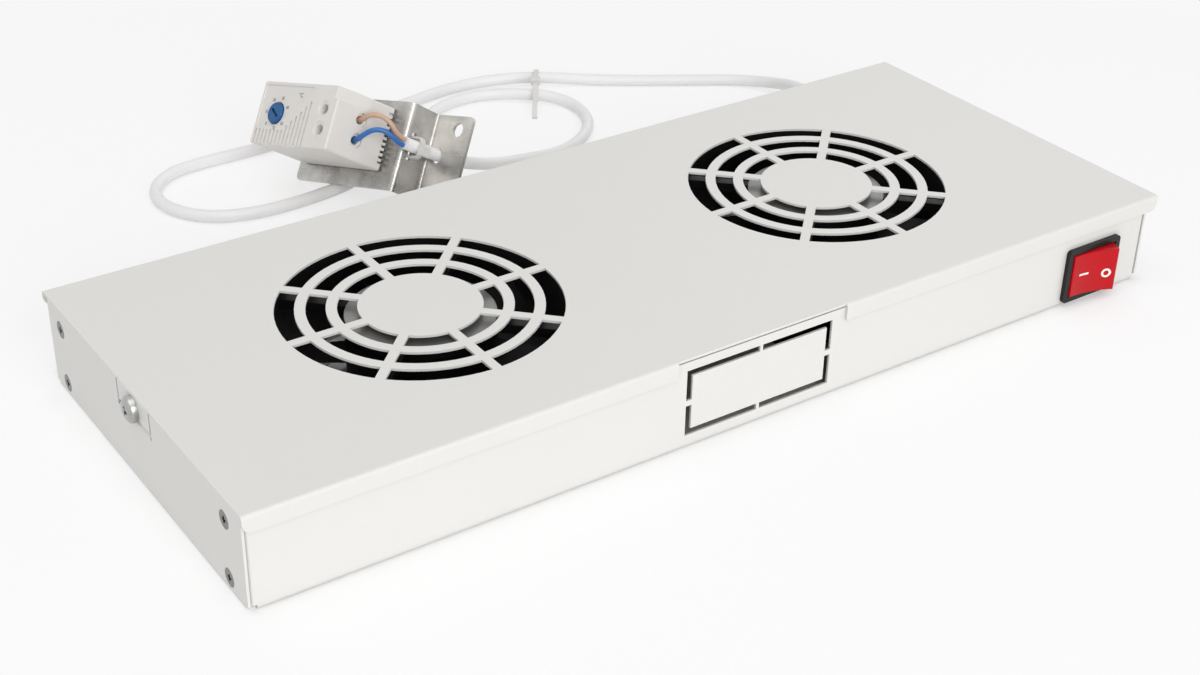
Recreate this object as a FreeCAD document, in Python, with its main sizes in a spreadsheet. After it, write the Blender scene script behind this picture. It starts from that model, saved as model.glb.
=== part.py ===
"""Rack fan tray, 1U: two 120 mm fans in a sheet-metal tray, with a thermostat on a lead.

The tray stands on Z = 0 with its long side along X, its front towards -Y and its lid on top.
The origin is the middle of the lid's outline on the underside plane. Lengths are millimetres.
"""

import FreeCAD
import Part
import math
import os
import Sketcher

from types import SimpleNamespace

SIZES = {
    # sheet metal
    "sheet": 1.0,
    "bend": 1.5,
    "seam": 0.2,
    "tray_height": 40.2,
    "lid_width": 440.0,
    "lid_depth": 180.0,
    "lid_flange": 7.1,
    "flange_round": 4.0,
    "flange_gap_start": -42.2,
    "flange_gap": 82.5,
    "wall_gap": 0.6,
    "base_width": 435.0,
    "base_depth": 173.7,
    "base_x": -2.5,
    "base_y": -2.05,
    "corner_tab": 20.0,
    "corner_relief": 2.3,
    "lid_tab": 28.0,
    "lid_overhang": 4.6,
    "lid_tab_y": 0.5,
    "lid_tab_low": 30.4,
    "joggle": 1.1,
    "lid_screw_z": 33.6,
    "lid_screw": 5.0,
    "wall_screw": 4.0,
    "wall_screw_head": 7.5,
    "wall_screw_y": -75.0,
    "wall_screw_step": 148.0,
    "wall_screw_z": 6.2,
    "wall_screw_rise": 24.3,
    # grille
    "slot_inner": 24.6,
    "slot_outer": 56.7,
    "slot_width": 7.8,
    "spoke": 4.0,
    # front and rear panels
    "knockout_x": -1.8,
    "knockout_z": 20.25,
    "knockout_width": 71.2,
    "knockout_height": 29.1,
    "knockout_slot": 2.7,
    "top_bridge": 1.4,
    "side_bridge": 2.4,
    "switch_x": 182.5,
    "switch_z": 14.6,
    "switch_width": 28.0,
    "switch_height": 22.0,
    "bezel_width": 31.4,
    "bezel_height": 25.4,
    "bezel_thick": 2.0,
    "rocker_width": 26.4,
    "rocker_height": 19.8,
    "rocker_facet": 11.5,
    "rocker_travel": 26.0,
    "rocker_hollow": 42.0,
    "inlet_x": 0.0,
    "inlet_z": 20.0,
    "inlet_width": 27.5,
    "inlet_height": 20.0,
    "inlet_pitch": 40.0,
    "gland_x": 195.0,
    "gland_z": 20.0,
    "gland_thread": 12.0,
    # fans
    "fan_pitch": 201.0,
    "fan_y": 1.0,
    "fan_width": 119.5,
    "fan_height": 38.0,
    "fan_flange": 4.5,
    "fan_bore": 114.0,
    "fan_holes": 104.8,
    "hub": 60.0,
    "hub_top": 35.2,
    "impeller": 111.2,
    "blade_low": 5.0,
    "blade_high": 30.3,
    "shaft": 5.0,
    "shaft_gap": 0.05,
    # thermostat and its bracket
    "stat_length": 57.5,
    "stat_width": 30.4,
    "stat_height": 33.0,
    "stat_cover": 5.0,
    "dial": 10.4,
    "dial_x": 14.2,
    "dial_y": 15.2,
    "plate": 1.5,
    "bracket_wide": 42.5,
    # cords
    "cord": 6.0,
    "wire": 2.4,
}

doc = FreeCAD.newDocument("FanTray")
sheet = doc.addObject("Spreadsheet::Sheet", "Sizes")


class Size:
    """A number together with the spreadsheet expression that gives it."""

    def __init__(self, value, text):
        self.value = value
        self.text = text

    def __add__(self, other):
        return Size(self.value + number(other), f"({self.text} + {words(other)})")

    def __sub__(self, other):
        return Size(self.value - number(other), f"({self.text} - {words(other)})")

    def __rsub__(self, other):
        return Size(number(other) - self.value, f"({words(other)} - {self.text})")

    def __mul__(self, other):
        return Size(self.value * number(other), f"({self.text} * {words(other)})")

    def __truediv__(self, other):
        return Size(self.value / number(other), f"({self.text} / {words(other)})")

    def __neg__(self):
        return self * -1

    __radd__ = __add__
    __rmul__ = __mul__


def number(size):
    return size.value if isinstance(size, Size) else float(size)


def words(size):
    return size.text if isinstance(size, Size) else f"({size:.6f})"


def bind(thing, field, size):
    thing.setExpression(field, words(size))


def fill_sheet():
    """Write every driving size into the sheet and return them under their aliases."""
    sizes = {}
    for row, (alias, value) in enumerate(SIZES.items(), 1):
        sheet.set(f"A{row}", alias)
        sheet.set(f"B{row}", str(value))
        sheet.setAlias(f"B{row}", alias)
        sizes[alias] = Size(value, f"Sizes.{alias}")
    doc.recompute()
    return SimpleNamespace(**sizes)


S = fill_sheet()
NODES = {}


# --- helpers for bodies and sketches ------------------------------------------------------------


def new_body(label, place=(0, 0, 0), turn=None):
    """A body of its own name, placed by expressions and turned about its origin."""
    body = doc.addObject("PartDesign::Body", label)
    body.Label = label
    if turn is not None:
        body.Placement.Rotation = turn
    for axis, size in zip("xyz", place):
        bind(body, f".Placement.Base.{axis}", size)
    NODES[label] = body
    return body


def sketch(body, plane, origin=(0, 0, 0)):
    """A sketch on one of the body's own planes, moved by origin (across, up, along the normal)."""
    drawing = body.newObject("Sketcher::SketchObject", "Sketch")
    support = [item for item in body.Origin.OriginFeatures if item.Role == plane + "_Plane"]
    drawing.AttachmentSupport = (support[0], [""])
    drawing.MapMode = "FlatFace"
    for axis, size in zip("xyz", origin):
        bind(drawing, f".AttachmentOffset.Base.{axis}", size)
    return drawing


def constrain(drawing, rules):
    first = drawing.ConstraintCount
    drawing.addConstraint([rule for rule, size in rules])
    for index, (rule, size) in enumerate(rules, first):
        if size is not None:
            drawing.setExpression(f"Constraints[{index}]", words(size))


def pin(piece, end, point):
    """Two constraints that hold one end of a sketch piece at (x, y)."""
    x, y = point
    return [
        (Sketcher.Constraint("DistanceX", -1, 1, piece, end, number(x)), x),
        (Sketcher.Constraint("DistanceY", -1, 1, piece, end, number(y)), y),
    ]


def flat(point):
    return FreeCAD.Vector(number(point[0]), number(point[1]), 0)


def circle(drawing, x, y, radius):
    piece = drawing.addGeometry(Part.Circle(flat((x, y)), FreeCAD.Vector(0, 0, 1), number(radius)))
    rules = pin(piece, 3, (x, y))
    rules.append((Sketcher.Constraint("Radius", piece, number(radius)), radius))
    constrain(drawing, rules)


def arc_between(start, end, radius, left):
    """The shorter arc from start to end, whose centre lies left or right of the way."""
    begin = flat(start)
    finish = flat(end)
    chord = finish - begin
    side = FreeCAD.Vector(-chord.y, chord.x, 0)
    side.normalize()
    height = math.sqrt(max(number(radius) ** 2 - (chord.Length / 2) ** 2, 0))
    sign = 1 if left else -1
    centre = begin + chord / 2 + side * (height * sign)
    middle = (begin + finish) / 2 - centre
    middle.normalize()
    return Part.Arc(begin, centre + middle * number(radius), finish)


def chain(drawing, start, steps):
    """A closed chain from start; a step is (point,) or (point, radius, left)."""
    rules = []
    first = None
    previous = None
    here = start
    for step in steps:
        end = step[0]
        if len(step) == 1:
            piece = drawing.addGeometry(Part.LineSegment(flat(here), flat(end)))
            begin_end, finish_end = 1, 2
        else:
            piece = drawing.addGeometry(arc_between(here, end, step[1], step[2]))
            rules.append((Sketcher.Constraint("Radius", piece, number(step[1])), step[1]))
            begin_end, finish_end = (1, 2) if step[2] else (2, 1)
        if previous is None:
            first = (piece, begin_end)
        else:
            joint = Sketcher.Constraint("Coincident", previous[0], previous[1], piece, begin_end)
            rules.append((joint, None))
        rules += pin(piece, begin_end, here)
        previous = (piece, finish_end)
        here = end
    rules.append((Sketcher.Constraint("Coincident", previous[0], previous[1], *first), None))
    constrain(drawing, rules)


def outline(drawing, corners):
    """A closed outline through corners, each (x, y) or (x, y, radius of the corner)."""
    count = len(corners)
    points = [flat(corner) for corner in corners]
    steps = []
    for index, corner in enumerate(corners):
        here = points[index]
        before = here - points[index - 1]
        after = points[(index + 1) % count] - here
        before.normalize()
        after.normalize()
        x, y = corner[:2]
        if len(corner) == 2:
            steps.append(((x, y),))
            continue
        radius = corner[2]
        cross = before.x * after.y - before.y * after.x
        half = math.acos(max(-1, min(1, before.dot(after)))) / 2
        reach = radius * math.tan(half)
        entry = (x - reach * before.x, y - reach * before.y)
        leave = (x + reach * after.x, y + reach * after.y)
        steps.append((entry,))
        steps.append((leave, radius, cross > 0))
    chain(drawing, steps[-1][0], steps)


def rectangle(drawing, x, y, width, height, radius=None):
    """A rectangle about the centre (x, y), with rounded corners where radius is given."""
    round_off = () if radius is None else (radius,)
    left, right = x - width / 2, x + width / 2
    low, high = y - height / 2, y + height / 2
    corners = [(left, low), (right, low), (right, high), (left, high)]
    outline(drawing, [corner + round_off for corner in corners])


def hexagon(drawing, radius):
    """A hexagon about the sketch's origin, radius from its middle to a corner."""
    turns = [math.radians(60 * index) for index in range(6)]
    outline(drawing, [(radius * math.cos(turn), radius * math.sin(turn)) for turn in turns])


def corner_circles(drawing, half, radius):
    """Four circles on the corners of a square that reaches half to each side."""
    for across in (-1, 1):
        for back in (-1, 1):
            circle(drawing, half * across, half * back, radius)


# --- helpers for features -----------------------------------------------------------------------


def pad(body, drawing, length, back=False, taper=0):
    feature = body.newObject("PartDesign::Pad", "Pad")
    feature.Profile = drawing
    feature.Reversed = back
    feature.TaperAngle = taper
    bind(feature, "Length", length)
    return feature


def volume(body):
    doc.recompute()
    return body.Shape.Volume


def expect_less(body, before, what):
    if not volume(body) < before - 1e-6:
        raise RuntimeError(f"{body.Label}: {what} cuts nothing")


def pocket(body, drawing, depth, back=False, taper=0):
    """Cut against the sketch's normal, or along it where back is set."""
    before = volume(body)
    feature = body.newObject("PartDesign::Pocket", "Pocket")
    feature.Profile = drawing
    feature.Reversed = back
    feature.TaperAngle = taper
    bind(feature, "Length", depth)
    expect_less(body, before, "pocket")
    return feature


def revolve(body, drawing, axis="V_Axis"):
    feature = body.newObject("PartDesign::Revolution", "Revolution")
    feature.Profile = drawing
    feature.ReferenceAxis = (drawing, [axis])
    feature.Angle = 360
    return feature


def groove(body, drawing, axis="V_Axis"):
    before = volume(body)
    feature = body.newObject("PartDesign::Groove", "Groove")
    feature.Profile = drawing
    feature.ReferenceAxis = (drawing, [axis])
    feature.Angle = 360
    expect_less(body, before, "groove")
    return feature


def plane_of(body, plane):
    return [item for item in body.Origin.OriginFeatures if item.Role == plane][0]


def around(body, feature, drawing, count):
    """Repeat a feature about the normal of its own sketch."""
    pattern = body.newObject("PartDesign::PolarPattern", "PolarPattern")
    pattern.Originals = [feature]
    pattern.Axis = (drawing, ["N_Axis"])
    pattern.Angle = 360
    pattern.Occurrences = count
    body.Tip = pattern
    return pattern


def along(body, axis, length, count, feature=None):
    """Repeat a feature, or all of the body where none is named, along an axis of the body."""
    doc.recompute()
    pattern = body.newObject("PartDesign::LinearPattern", "LinearPattern")
    if feature is None:
        pattern.TransformMode = "Whole shape"
    else:
        pattern.Originals = [feature]
    pattern.Direction = (plane_of(body, axis + "_Axis"), [""])
    bind(pattern, "Length", length)
    pattern.Occurrences = count
    body.Tip = pattern
    return pattern


def edges_where(body, test):
    doc.recompute()
    tip = body.Tip
    return [f"Edge{n}" for n, edge in enumerate(tip.Shape.Edges, 1) if test(edge)]


def soften(body, kind, radius, test):
    """A fillet or chamfer on the edges that pass the test."""
    names = edges_where(body, test)
    if not names:
        raise RuntimeError(f"{body.Label}: no edge to soften")
    base = body.Tip
    feature = body.newObject(f"PartDesign::{kind}", kind)
    feature.Base = (base, names)
    bind(feature, "Radius" if kind == "Fillet" else "Size", radius)
    doc.recompute()
    return feature


def runs_along(edge, axis):
    if len(edge.Vertexes) != 2:
        return False
    way = edge.Vertexes[1].Point - edge.Vertexes[0].Point
    return abs(abs(getattr(way, axis)) - way.Length) < 1e-6 and way.Length > 1e-6


def turned_body(label, profile, place=(0, 0, 0), turn=None):
    """A round piece about its own Z axis, from a half profile of (radius, height) corners."""
    body = new_body(label, place, turn)
    drawing = sketch(body, "XZ")
    outline(drawing, profile)
    revolve(body, drawing)
    return body


# --- cords and wires ----------------------------------------------------------------------------


def smooth_path(points):
    """Straight runs joined by arcs that are as large as the two runs allow."""
    corners = [FreeCAD.Vector(*point) for point in points]
    edges = []
    radii = []
    here = corners[0]
    for index in range(1, len(corners) - 1):
        corner = corners[index]
        before = corner - corners[index - 1]
        after = corners[index + 1] - corner
        shorter = min(before.Length, after.Length)
        before.normalize()
        after.normalize()
        half = math.acos(max(-1, min(1, before.dot(after)))) / 2
        reach = 0.45 * shorter
        radius = reach / math.tan(half)
        entry = corner - before * reach
        leave = corner + after * reach
        inward = after - before
        inward.normalize()
        middle = corner + inward * (radius / math.cos(half) - radius)
        edges.append(Part.LineSegment(here, entry).toShape())
        edges.append(Part.Arc(entry, middle, leave).toShape())
        radii.append(radius)
        here = leave
    edges.append(Part.LineSegment(here, corners[-1]).toShape())
    return Part.Wire(edges), radii


def tube(label, points, diameter):
    """A cord or wire: a round section swept along its route."""
    path, radii = smooth_path(points)
    radius = number(diameter) / 2
    start = FreeCAD.Vector(*points[0])
    way = FreeCAD.Vector(*points[1]) - start
    section = Part.Wire([Part.Circle(start, way, radius).toShape()])
    shape = path.makePipeShell([section], True, False)
    expected = math.pi * radius ** 2 * path.Length
    if abs(shape.Volume / expected - 1) > 0.01:
        raise RuntimeError(f"{label}: volume {shape.Volume:.0f} instead of {expected:.0f}")
    feature = doc.addObject("Part::Feature", label)
    feature.Label = label
    feature.Shape = shape
    NODES[label] = feature
    tightest = min(radii) if radii else 0
    print(f"{label}: length {path.Length:.1f}, tightest radius {tightest:.1f}")
    return feature


# --- sheet metal --------------------------------------------------------------------------------

INNER_BEND = S.bend - S.sheet
FAN_X = S.fan_pitch / 2
LID_Z = S.tray_height - S.sheet


def grille(body, fan_x, fan_y, top):
    """Three rings of slots between eight spokes, cut down from top."""
    drawing = sketch(body, "XY", (fan_x, fan_y, top))
    ring_step = (S.slot_outer - S.slot_width - S.slot_inner) / 2
    half_spoke = S.spoke / 2
    for ring in range(3):
        inner = S.slot_inner + ring_step * ring
        outer = inner + S.slot_width
        corners = []
        for radius in (inner, outer):
            low = math.asin(number(half_spoke) / number(radius))
            high = math.pi / 4 - low
            corners.append([(radius * math.cos(turn), radius * math.sin(turn)) for turn in (low, high)])
        (inner_low, inner_high), (outer_low, outer_high) = corners
        steps = [(outer_low,), (outer_high, outer, True), (inner_high,), (inner_low, inner, False)]
        chain(drawing, inner_low, steps)
    slots = pocket(body, drawing, S.sheet)
    around(body, slots, drawing, 8)


def make_base():
    """Floor and walls of one sheet: bent corners, end tabs behind the end walls, joggled tongues."""
    body = new_body("base_tray", (S.base_x, S.base_y, 0))
    half_width = S.base_width / 2
    half_depth = S.base_depth / 2
    wall_top = S.tray_height - S.sheet
    lap = S.sheet + S.seam
    channel_end = half_width - lap - S.bend * 1.5

    channel = sketch(body, "YZ", (0, 0, -channel_end))
    outline(channel, [
        (-half_depth, wall_top),
        (-half_depth, 0, S.bend),
        (half_depth, 0, S.bend),
        (half_depth, wall_top),
        (half_depth - S.sheet, wall_top),
        (half_depth - S.sheet, S.sheet, INNER_BEND),
        (S.sheet - half_depth, S.sheet, INNER_BEND),
        (S.sheet - half_depth, wall_top),
    ])
    pad(body, channel, channel_end * 2)

    for side in (-1, 1):
        face = half_width * side
        inside = (half_width - S.sheet) * side
        floor_end = (channel_end - 4) * side
        bend = sketch(body, "XZ", (0, 0, -(half_depth - S.corner_relief)))
        outline(bend, [
            (floor_end, 0),
            (face, 0, S.bend),
            (face, S.corner_relief + 2),
            (inside, S.corner_relief + 2),
            (inside, S.sheet, INNER_BEND),
            (floor_end, S.sheet),
        ])
        pad(body, bend, (half_depth - S.corner_relief) * 2)

        wall = sketch(body, "YZ", (0, 0, face))
        rectangle(wall, 0, (wall_top + S.corner_relief) / 2, S.base_depth, wall_top - S.corner_relief)
        pad(body, wall, S.sheet, back=side > 0)

        for end in (-1, 1):
            tab = sketch(body, "XY", (0, 0, S.corner_relief))
            outer = (half_width - lap) * side
            inner = (half_width - lap - S.sheet) * side
            outline(tab, [
                (channel_end * side, half_depth * end),
                (outer, half_depth * end, S.bend),
                (outer, (half_depth - S.corner_tab) * end),
                (inner, (half_depth - S.corner_tab) * end),
                (inner, (half_depth - S.sheet) * end, INNER_BEND),
                (channel_end * side, (half_depth - S.sheet) * end),
            ])
            pad(body, tab, wall_top - S.corner_relief)

    cut_tongues(body)
    cut_panels(body)
    cut_wall_screws(body)
    for side in (-1, 1):
        grille(body, FAN_X * side - S.base_x, S.fan_y - S.base_y, S.sheet)
    cut_fan_holes(body)
    return body


def cut_tongues(body):
    """Free a tongue in each end wall and set it in by the joggle, so the lid's tab lies flush."""
    half_width = S.base_width / 2
    wall_top = S.tray_height - S.sheet
    middle = S.lid_tab_y - S.base_y
    slit = 1.2
    root = S.lid_tab_low - 2.5
    for side in (-1, 1):
        face = half_width * side
        gap = sketch(body, "YZ", (0, 0, face))
        rectangle(gap, middle, (root + wall_top + 2) / 2, S.lid_tab + slit * 2, wall_top - root + 2)
        pocket(body, gap, S.sheet, back=side < 0)
        low, high = root - 1, S.lid_tab_low - 0.3
        tongue = sketch(body, "XZ", (0, 0, -(middle + S.lid_tab / 2)))
        set_in = S.joggle
        outline(tongue, [
            (face, low),
            (face, root + 0.4),
            ((half_width - set_in) * side, high),
            ((half_width - set_in) * side, wall_top),
            ((half_width - set_in - S.sheet) * side, wall_top),
            ((half_width - set_in - S.sheet) * side, high - 0.4),
            ((half_width - S.sheet) * side, root),
            ((half_width - S.sheet) * side, low),
        ])
        pad(body, tongue, S.lid_tab)
        hole = sketch(body, "YZ", (0, 0, (half_width - set_in) * side))
        circle(hole, middle, S.lid_screw_z, S.lid_screw / 2 + 0.7)
        pocket(body, hole, S.sheet, back=side < 0)


def knockout(drawing, x, z):
    """Four L-shaped slots that leave the panel hanging on four short bridges."""
    half_width = S.knockout_width / 2
    half_height = S.knockout_height / 2
    top_gap = S.top_bridge / 2
    side_gap = S.side_bridge / 2
    slot = S.knockout_slot
    for across in (-1, 1):
        for up in (-1, 1):
            outline(drawing, [
                (x + top_gap * across, z + half_height * up),
                (x + half_width * across, z + half_height * up),
                (x + half_width * across, z + side_gap * up),
                (x + (half_width - slot) * across, z + side_gap * up),
                (x + (half_width - slot) * across, z + (half_height - slot) * up),
                (x + top_gap * across, z + (half_height - slot) * up),
            ])


def cut_panels(body):
    """Openings of the front and rear walls."""
    half_depth = S.base_depth / 2
    front = sketch(body, "XZ", (0, 0, half_depth))
    knockout(front, S.knockout_x - S.base_x, S.knockout_z)
    width = S.switch_width + S.seam
    height = S.switch_height + S.seam
    rectangle(front, S.switch_x - S.base_x, S.switch_z, width, height)
    gap_middle = S.flange_gap_start + S.flange_gap / 2 - S.base_x
    wall_top = S.tray_height - S.sheet
    rectangle(front, gap_middle, wall_top - S.wall_gap / 2 + 0.5, S.flange_gap, S.wall_gap + 1)
    pocket(body, front, S.sheet)

    rear = sketch(body, "XZ", (0, 0, -half_depth))
    inlet_x = S.inlet_x - S.base_x
    rectangle(rear, inlet_x, S.inlet_z, S.inlet_width + S.seam, S.inlet_height + S.seam)
    for side in (-1, 1):
        circle(rear, inlet_x + S.inlet_pitch / 2 * side, S.inlet_z, 1.7)
    circle(rear, S.gland_x - S.base_x, S.gland_z, S.gland_thread / 2 + 0.1)
    pocket(body, rear, S.sheet, back=True)


def cut_wall_screws(body):
    """Four countersunk holes in each end wall, and clear holes in the tabs behind it."""
    half_width = S.base_width / 2
    depth = S.sheet
    near = S.wall_screw_y - S.base_y
    for side in (-1, 1):
        face = sketch(body, "YZ", (0, 0, half_width * side))
        behind = sketch(body, "YZ", (0, 0, (half_width - depth) * side))
        for y in (near, near + S.wall_screw_step):
            for z in (S.wall_screw_z, S.wall_screw_z + S.wall_screw_rise):
                circle(face, y, z, S.wall_screw_head / 2)
                circle(behind, y, z, S.wall_screw / 2 + 0.1)
        slope = math.degrees(math.atan2(number(S.wall_screw_head - S.wall_screw) / 2 - 0.1, number(depth)))
        pocket(body, face, depth, back=side < 0, taper=-slope)
        pocket(body, behind, S.sheet + S.seam * 2, back=side < 0)


def cut_fan_holes(body):
    """Four holes under each fan, countersunk from below."""
    for side in (-1, 1):
        drawing = sketch(body, "XY", (FAN_X * side - S.base_x, S.fan_y - S.base_y, 0))
        corner_circles(drawing, S.fan_holes / 2, 3.15)
        pocket(body, drawing, S.sheet, back=True, taper=-45)


def make_lid():
    """Lid with long flanges front and rear, a gap over the knock-out and one tab at each end."""
    body = new_body("lid", (0, 0, LID_Z))
    half_width = S.lid_width / 2
    half_depth = S.lid_depth / 2
    low = S.sheet - S.lid_flange
    profile = sketch(body, "YZ", (0, 0, -half_width))
    outline(profile, [
        (-half_depth, low),
        (S.sheet - half_depth, low),
        (S.sheet - half_depth, 0, S.seam / 2),
        (half_depth - S.sheet, 0, S.seam / 2),
        (half_depth - S.sheet, low),
        (half_depth, low),
        (half_depth, S.sheet, S.bend),
        (-half_depth, S.sheet, S.bend),
    ])
    pad(body, profile, S.lid_width)

    def flange_corner(edge):
        at = edge.CenterOfMass
        return runs_along(edge, "y") and abs(at.z - number(low)) < 0.01

    soften(body, "Fillet", S.flange_round, flange_corner)

    front = sketch(body, "XZ", (0, 0, half_depth))
    middle = S.flange_gap_start + S.flange_gap / 2
    rectangle(front, middle, S.sheet - S.lid_flange / 2, S.flange_gap, S.lid_flange)
    pocket(body, front, half_depth - (S.base_depth / 2 - S.base_y))

    # The left tab is the lid's own sheet, bent down; the right one is an angle spot-welded
    # under the overhang, so the right edge stays straight.
    tab_low = S.lid_tab_low - LID_Z
    tab_start = -(S.lid_tab_y + S.lid_tab / 2)
    left = S.base_x - S.base_width / 2
    right = S.base_x + S.base_width / 2
    room = sketch(body, "XY", (0, 0, S.sheet))
    rectangle(room, left + S.bend / 2, S.lid_tab_y, S.bend, S.lid_tab)
    pocket(body, room, S.sheet)
    strip = sketch(body, "XZ", (0, 0, tab_start))
    outline(strip, [
        (left + S.bend + 1, S.sheet),
        (left, S.sheet, S.bend),
        (left, tab_low),
        (left + S.sheet, tab_low),
        (left + S.sheet, 0, S.seam / 2),
        (left + S.bend + 1, 0),
    ])
    pad(body, strip, S.lid_tab)
    angle = sketch(body, "XZ", (0, 0, tab_start))
    outline(angle, [
        (right + S.lid_overhang, 0),
        (right - S.sheet, 0),
        (right - S.sheet, tab_low),
        (right, tab_low),
        (right, -S.sheet, S.seam / 2),
        (right + S.lid_overhang, -S.sheet),
    ])
    pad(body, angle, S.lid_tab)
    head_room = sketch(body, "YZ", (0, 0, right))
    rectangle(head_room, S.lid_tab_y, -(S.sheet + S.seam) / 2, 13, S.sheet + S.seam)
    pocket(body, head_room, S.lid_overhang, back=True)
    for side, face in ((-1, left), (1, right)):
        hole = sketch(body, "YZ", (0, 0, face))
        circle(hole, S.lid_tab_y, S.lid_screw_z - LID_Z, S.lid_screw / 2 + 0.2)
        pocket(body, hole, S.sheet, back=side < 0)

    for side in (-1, 1):
        grille(body, FAN_X * side, S.fan_y, S.sheet)
    return body


def make_lid_fasteners():
    """Pan-head screws through the lid's tabs and the clinch nuts in the tongues behind."""
    shank = S.lid_screw / 2
    screws = new_body("lid_screws", (0, S.lid_tab_y, S.lid_screw_z))
    nuts = new_body("lid_clinch_nuts", (0, S.lid_tab_y, S.lid_screw_z))
    for side in (-1, 1):
        face = S.base_x * side + S.base_width / 2
        drawing = sketch(screws, "XZ")
        outline(drawing, [
            ((face - 7) * side, 0),
            ((face + 3.4) * side, 0),
            ((face + 3.4) * side, 3.6, 0.8),
            ((face + 2.6) * side, 5.2, 1.5),
            (face * side, 5.2),
            (face * side, shank),
            ((face - 7) * side, shank),
        ])
        revolve(screws, drawing, "H_Axis")
        back = face - S.joggle - S.sheet
        drawing = sketch(nuts, "XZ")
        outline(drawing, [
            ((back + S.sheet * 0.9) * side, shank + S.shaft_gap),
            ((back + S.sheet * 0.9) * side, shank + 0.7),
            (back * side, shank + 0.7),
            (back * side, shank + 2.2),
            ((back - 4) * side, shank + 2.2),
            ((back - 4) * side, shank + S.shaft_gap),
        ])
        revolve(nuts, drawing, "H_Axis")


def make_wall_fasteners():
    """Countersunk screws flush with the end walls, each held by a nut on the tab inside."""
    shank = S.wall_screw / 2
    screws = new_body("wall_screws", (0, S.wall_screw_y, S.wall_screw_z))
    nuts = new_body("wall_nuts", (0, S.wall_screw_y, S.wall_screw_z))
    for side in (-1, 1):
        face = S.base_x * side + S.base_width / 2
        behind = face - S.sheet * 2 - S.seam
        end = behind - 4
        drawing = sketch(screws, "XZ")
        outline(drawing, [
            (end * side, 0),
            (face * side, 0),
            (face * side, S.wall_screw_head / 2 - 0.05),
            ((face - S.sheet) * side, shank),
            (end * side, shank),
        ])
        revolve(screws, drawing, "H_Axis")
        drawing = sketch(nuts, "YZ", (0, 0, behind * side))
        hexagon(drawing, 4.0)
        circle(drawing, 0, 0, shank + S.shaft_gap)
        pad(nuts, drawing, 3.2, back=side > 0)
    for body in (screws, nuts):
        pattern = along(body, "Y", S.wall_screw_step, 2)
        pattern.Direction2 = (plane_of(body, "Z_Axis"), [""])
        bind(pattern, "Length2", S.wall_screw_rise)
        pattern.Occurrences2 = 2


# --- fans ---------------------------------------------------------------------------------------

FAN_HOLE = S.fan_holes / 2
BEARING_TUBE = 8.0
BEARING = 6.0
BEARING_HEIGHT = 4.0
BLADE_THICK = 1.9
CUP_INNER = 23.5
CUP_OUTER = 27.0
CUP_TOP = 28.5
CUP_WEB = 8.0
FLOOR_GAP = 4.5
CUP_LOW = FLOOR_GAP + 0.5
SHAFT_TOP = 30.8
CORE_LOW = 14.0
CORE_HEIGHT = 12.0


def make_fan_frame(label, place):
    """Square flanges on a round duct, with a hub plate on four diagonal struts at the top."""
    body = new_body(label, place)
    half = S.fan_width / 2
    for low in (0, S.fan_height - S.fan_flange):
        flange = sketch(body, "XY", (0, 0, low))
        rectangle(flange, 0, 0, S.fan_width, S.fan_width, 4.5)
        pad(body, flange, S.fan_flange)
    duct = sketch(body, "XY")
    circle(duct, 0, 0, half - 0.3)
    pad(body, duct, S.fan_height)
    bore = sketch(body, "XY", (0, 0, S.fan_height))
    circle(bore, 0, 0, S.fan_bore / 2)
    pocket(body, bore, S.fan_height)
    holes = sketch(body, "XY", (0, 0, S.fan_height))
    corner_circles(holes, FAN_HOLE, 2.25)
    pocket(body, holes, S.fan_height)

    strut_low = S.hub_top - 3.7
    strut_high = 4.0
    half_wide = 2.4
    strut = sketch(body, "XY", (0, 0, strut_low))
    inner = S.hub / 2
    outer = S.fan_bore / 2 + 0.8
    diagonal = math.sqrt(0.5)
    corners = []
    for reach, across in ((inner, half_wide), (outer, half_wide), (outer, -half_wide), (inner, -half_wide)):
        corners.append(((reach - across) * diagonal, (reach + across) * diagonal))
    outline(strut, corners)
    bar = pad(body, strut, strut_high)
    around(body, bar, strut, 4)

    plate = sketch(body, "XZ")
    outline(plate, [
        (BEARING, 9),
        (BEARING_TUBE, 9),
        (BEARING_TUBE, strut_low),
        (S.hub / 2 + 0.5, strut_low),
        (S.hub / 2 + 0.5, S.hub_top, 1.0),
        (0, S.hub_top),
        (0, strut_low),
        (BEARING, strut_low),
    ])
    revolve(body, plate)
    return body


def blade_section(body, reach, chord, pitch, camber, middle):
    """One thin curved section of the blade, on a plane at this reach from the axis."""
    drawing = sketch(body, "YZ", (0, 0, reach))
    across = math.cos(math.radians(pitch)) / 2
    rise = math.sin(math.radians(pitch)) / 2
    low = (-chord * across, middle - chord * rise)
    high = (chord * across, middle + chord * rise)
    lower = bowed(chord, camber + BLADE_THICK)
    upper = bowed(chord, camber)
    chain(drawing, low, [(high, lower, True), (low, upper, False)])
    return drawing


def bowed(chord, bulge):
    """Radius of the arc that stands bulge above its chord."""
    return ((chord / 2) ** 2 + bulge ** 2) / (2 * bulge)


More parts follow.
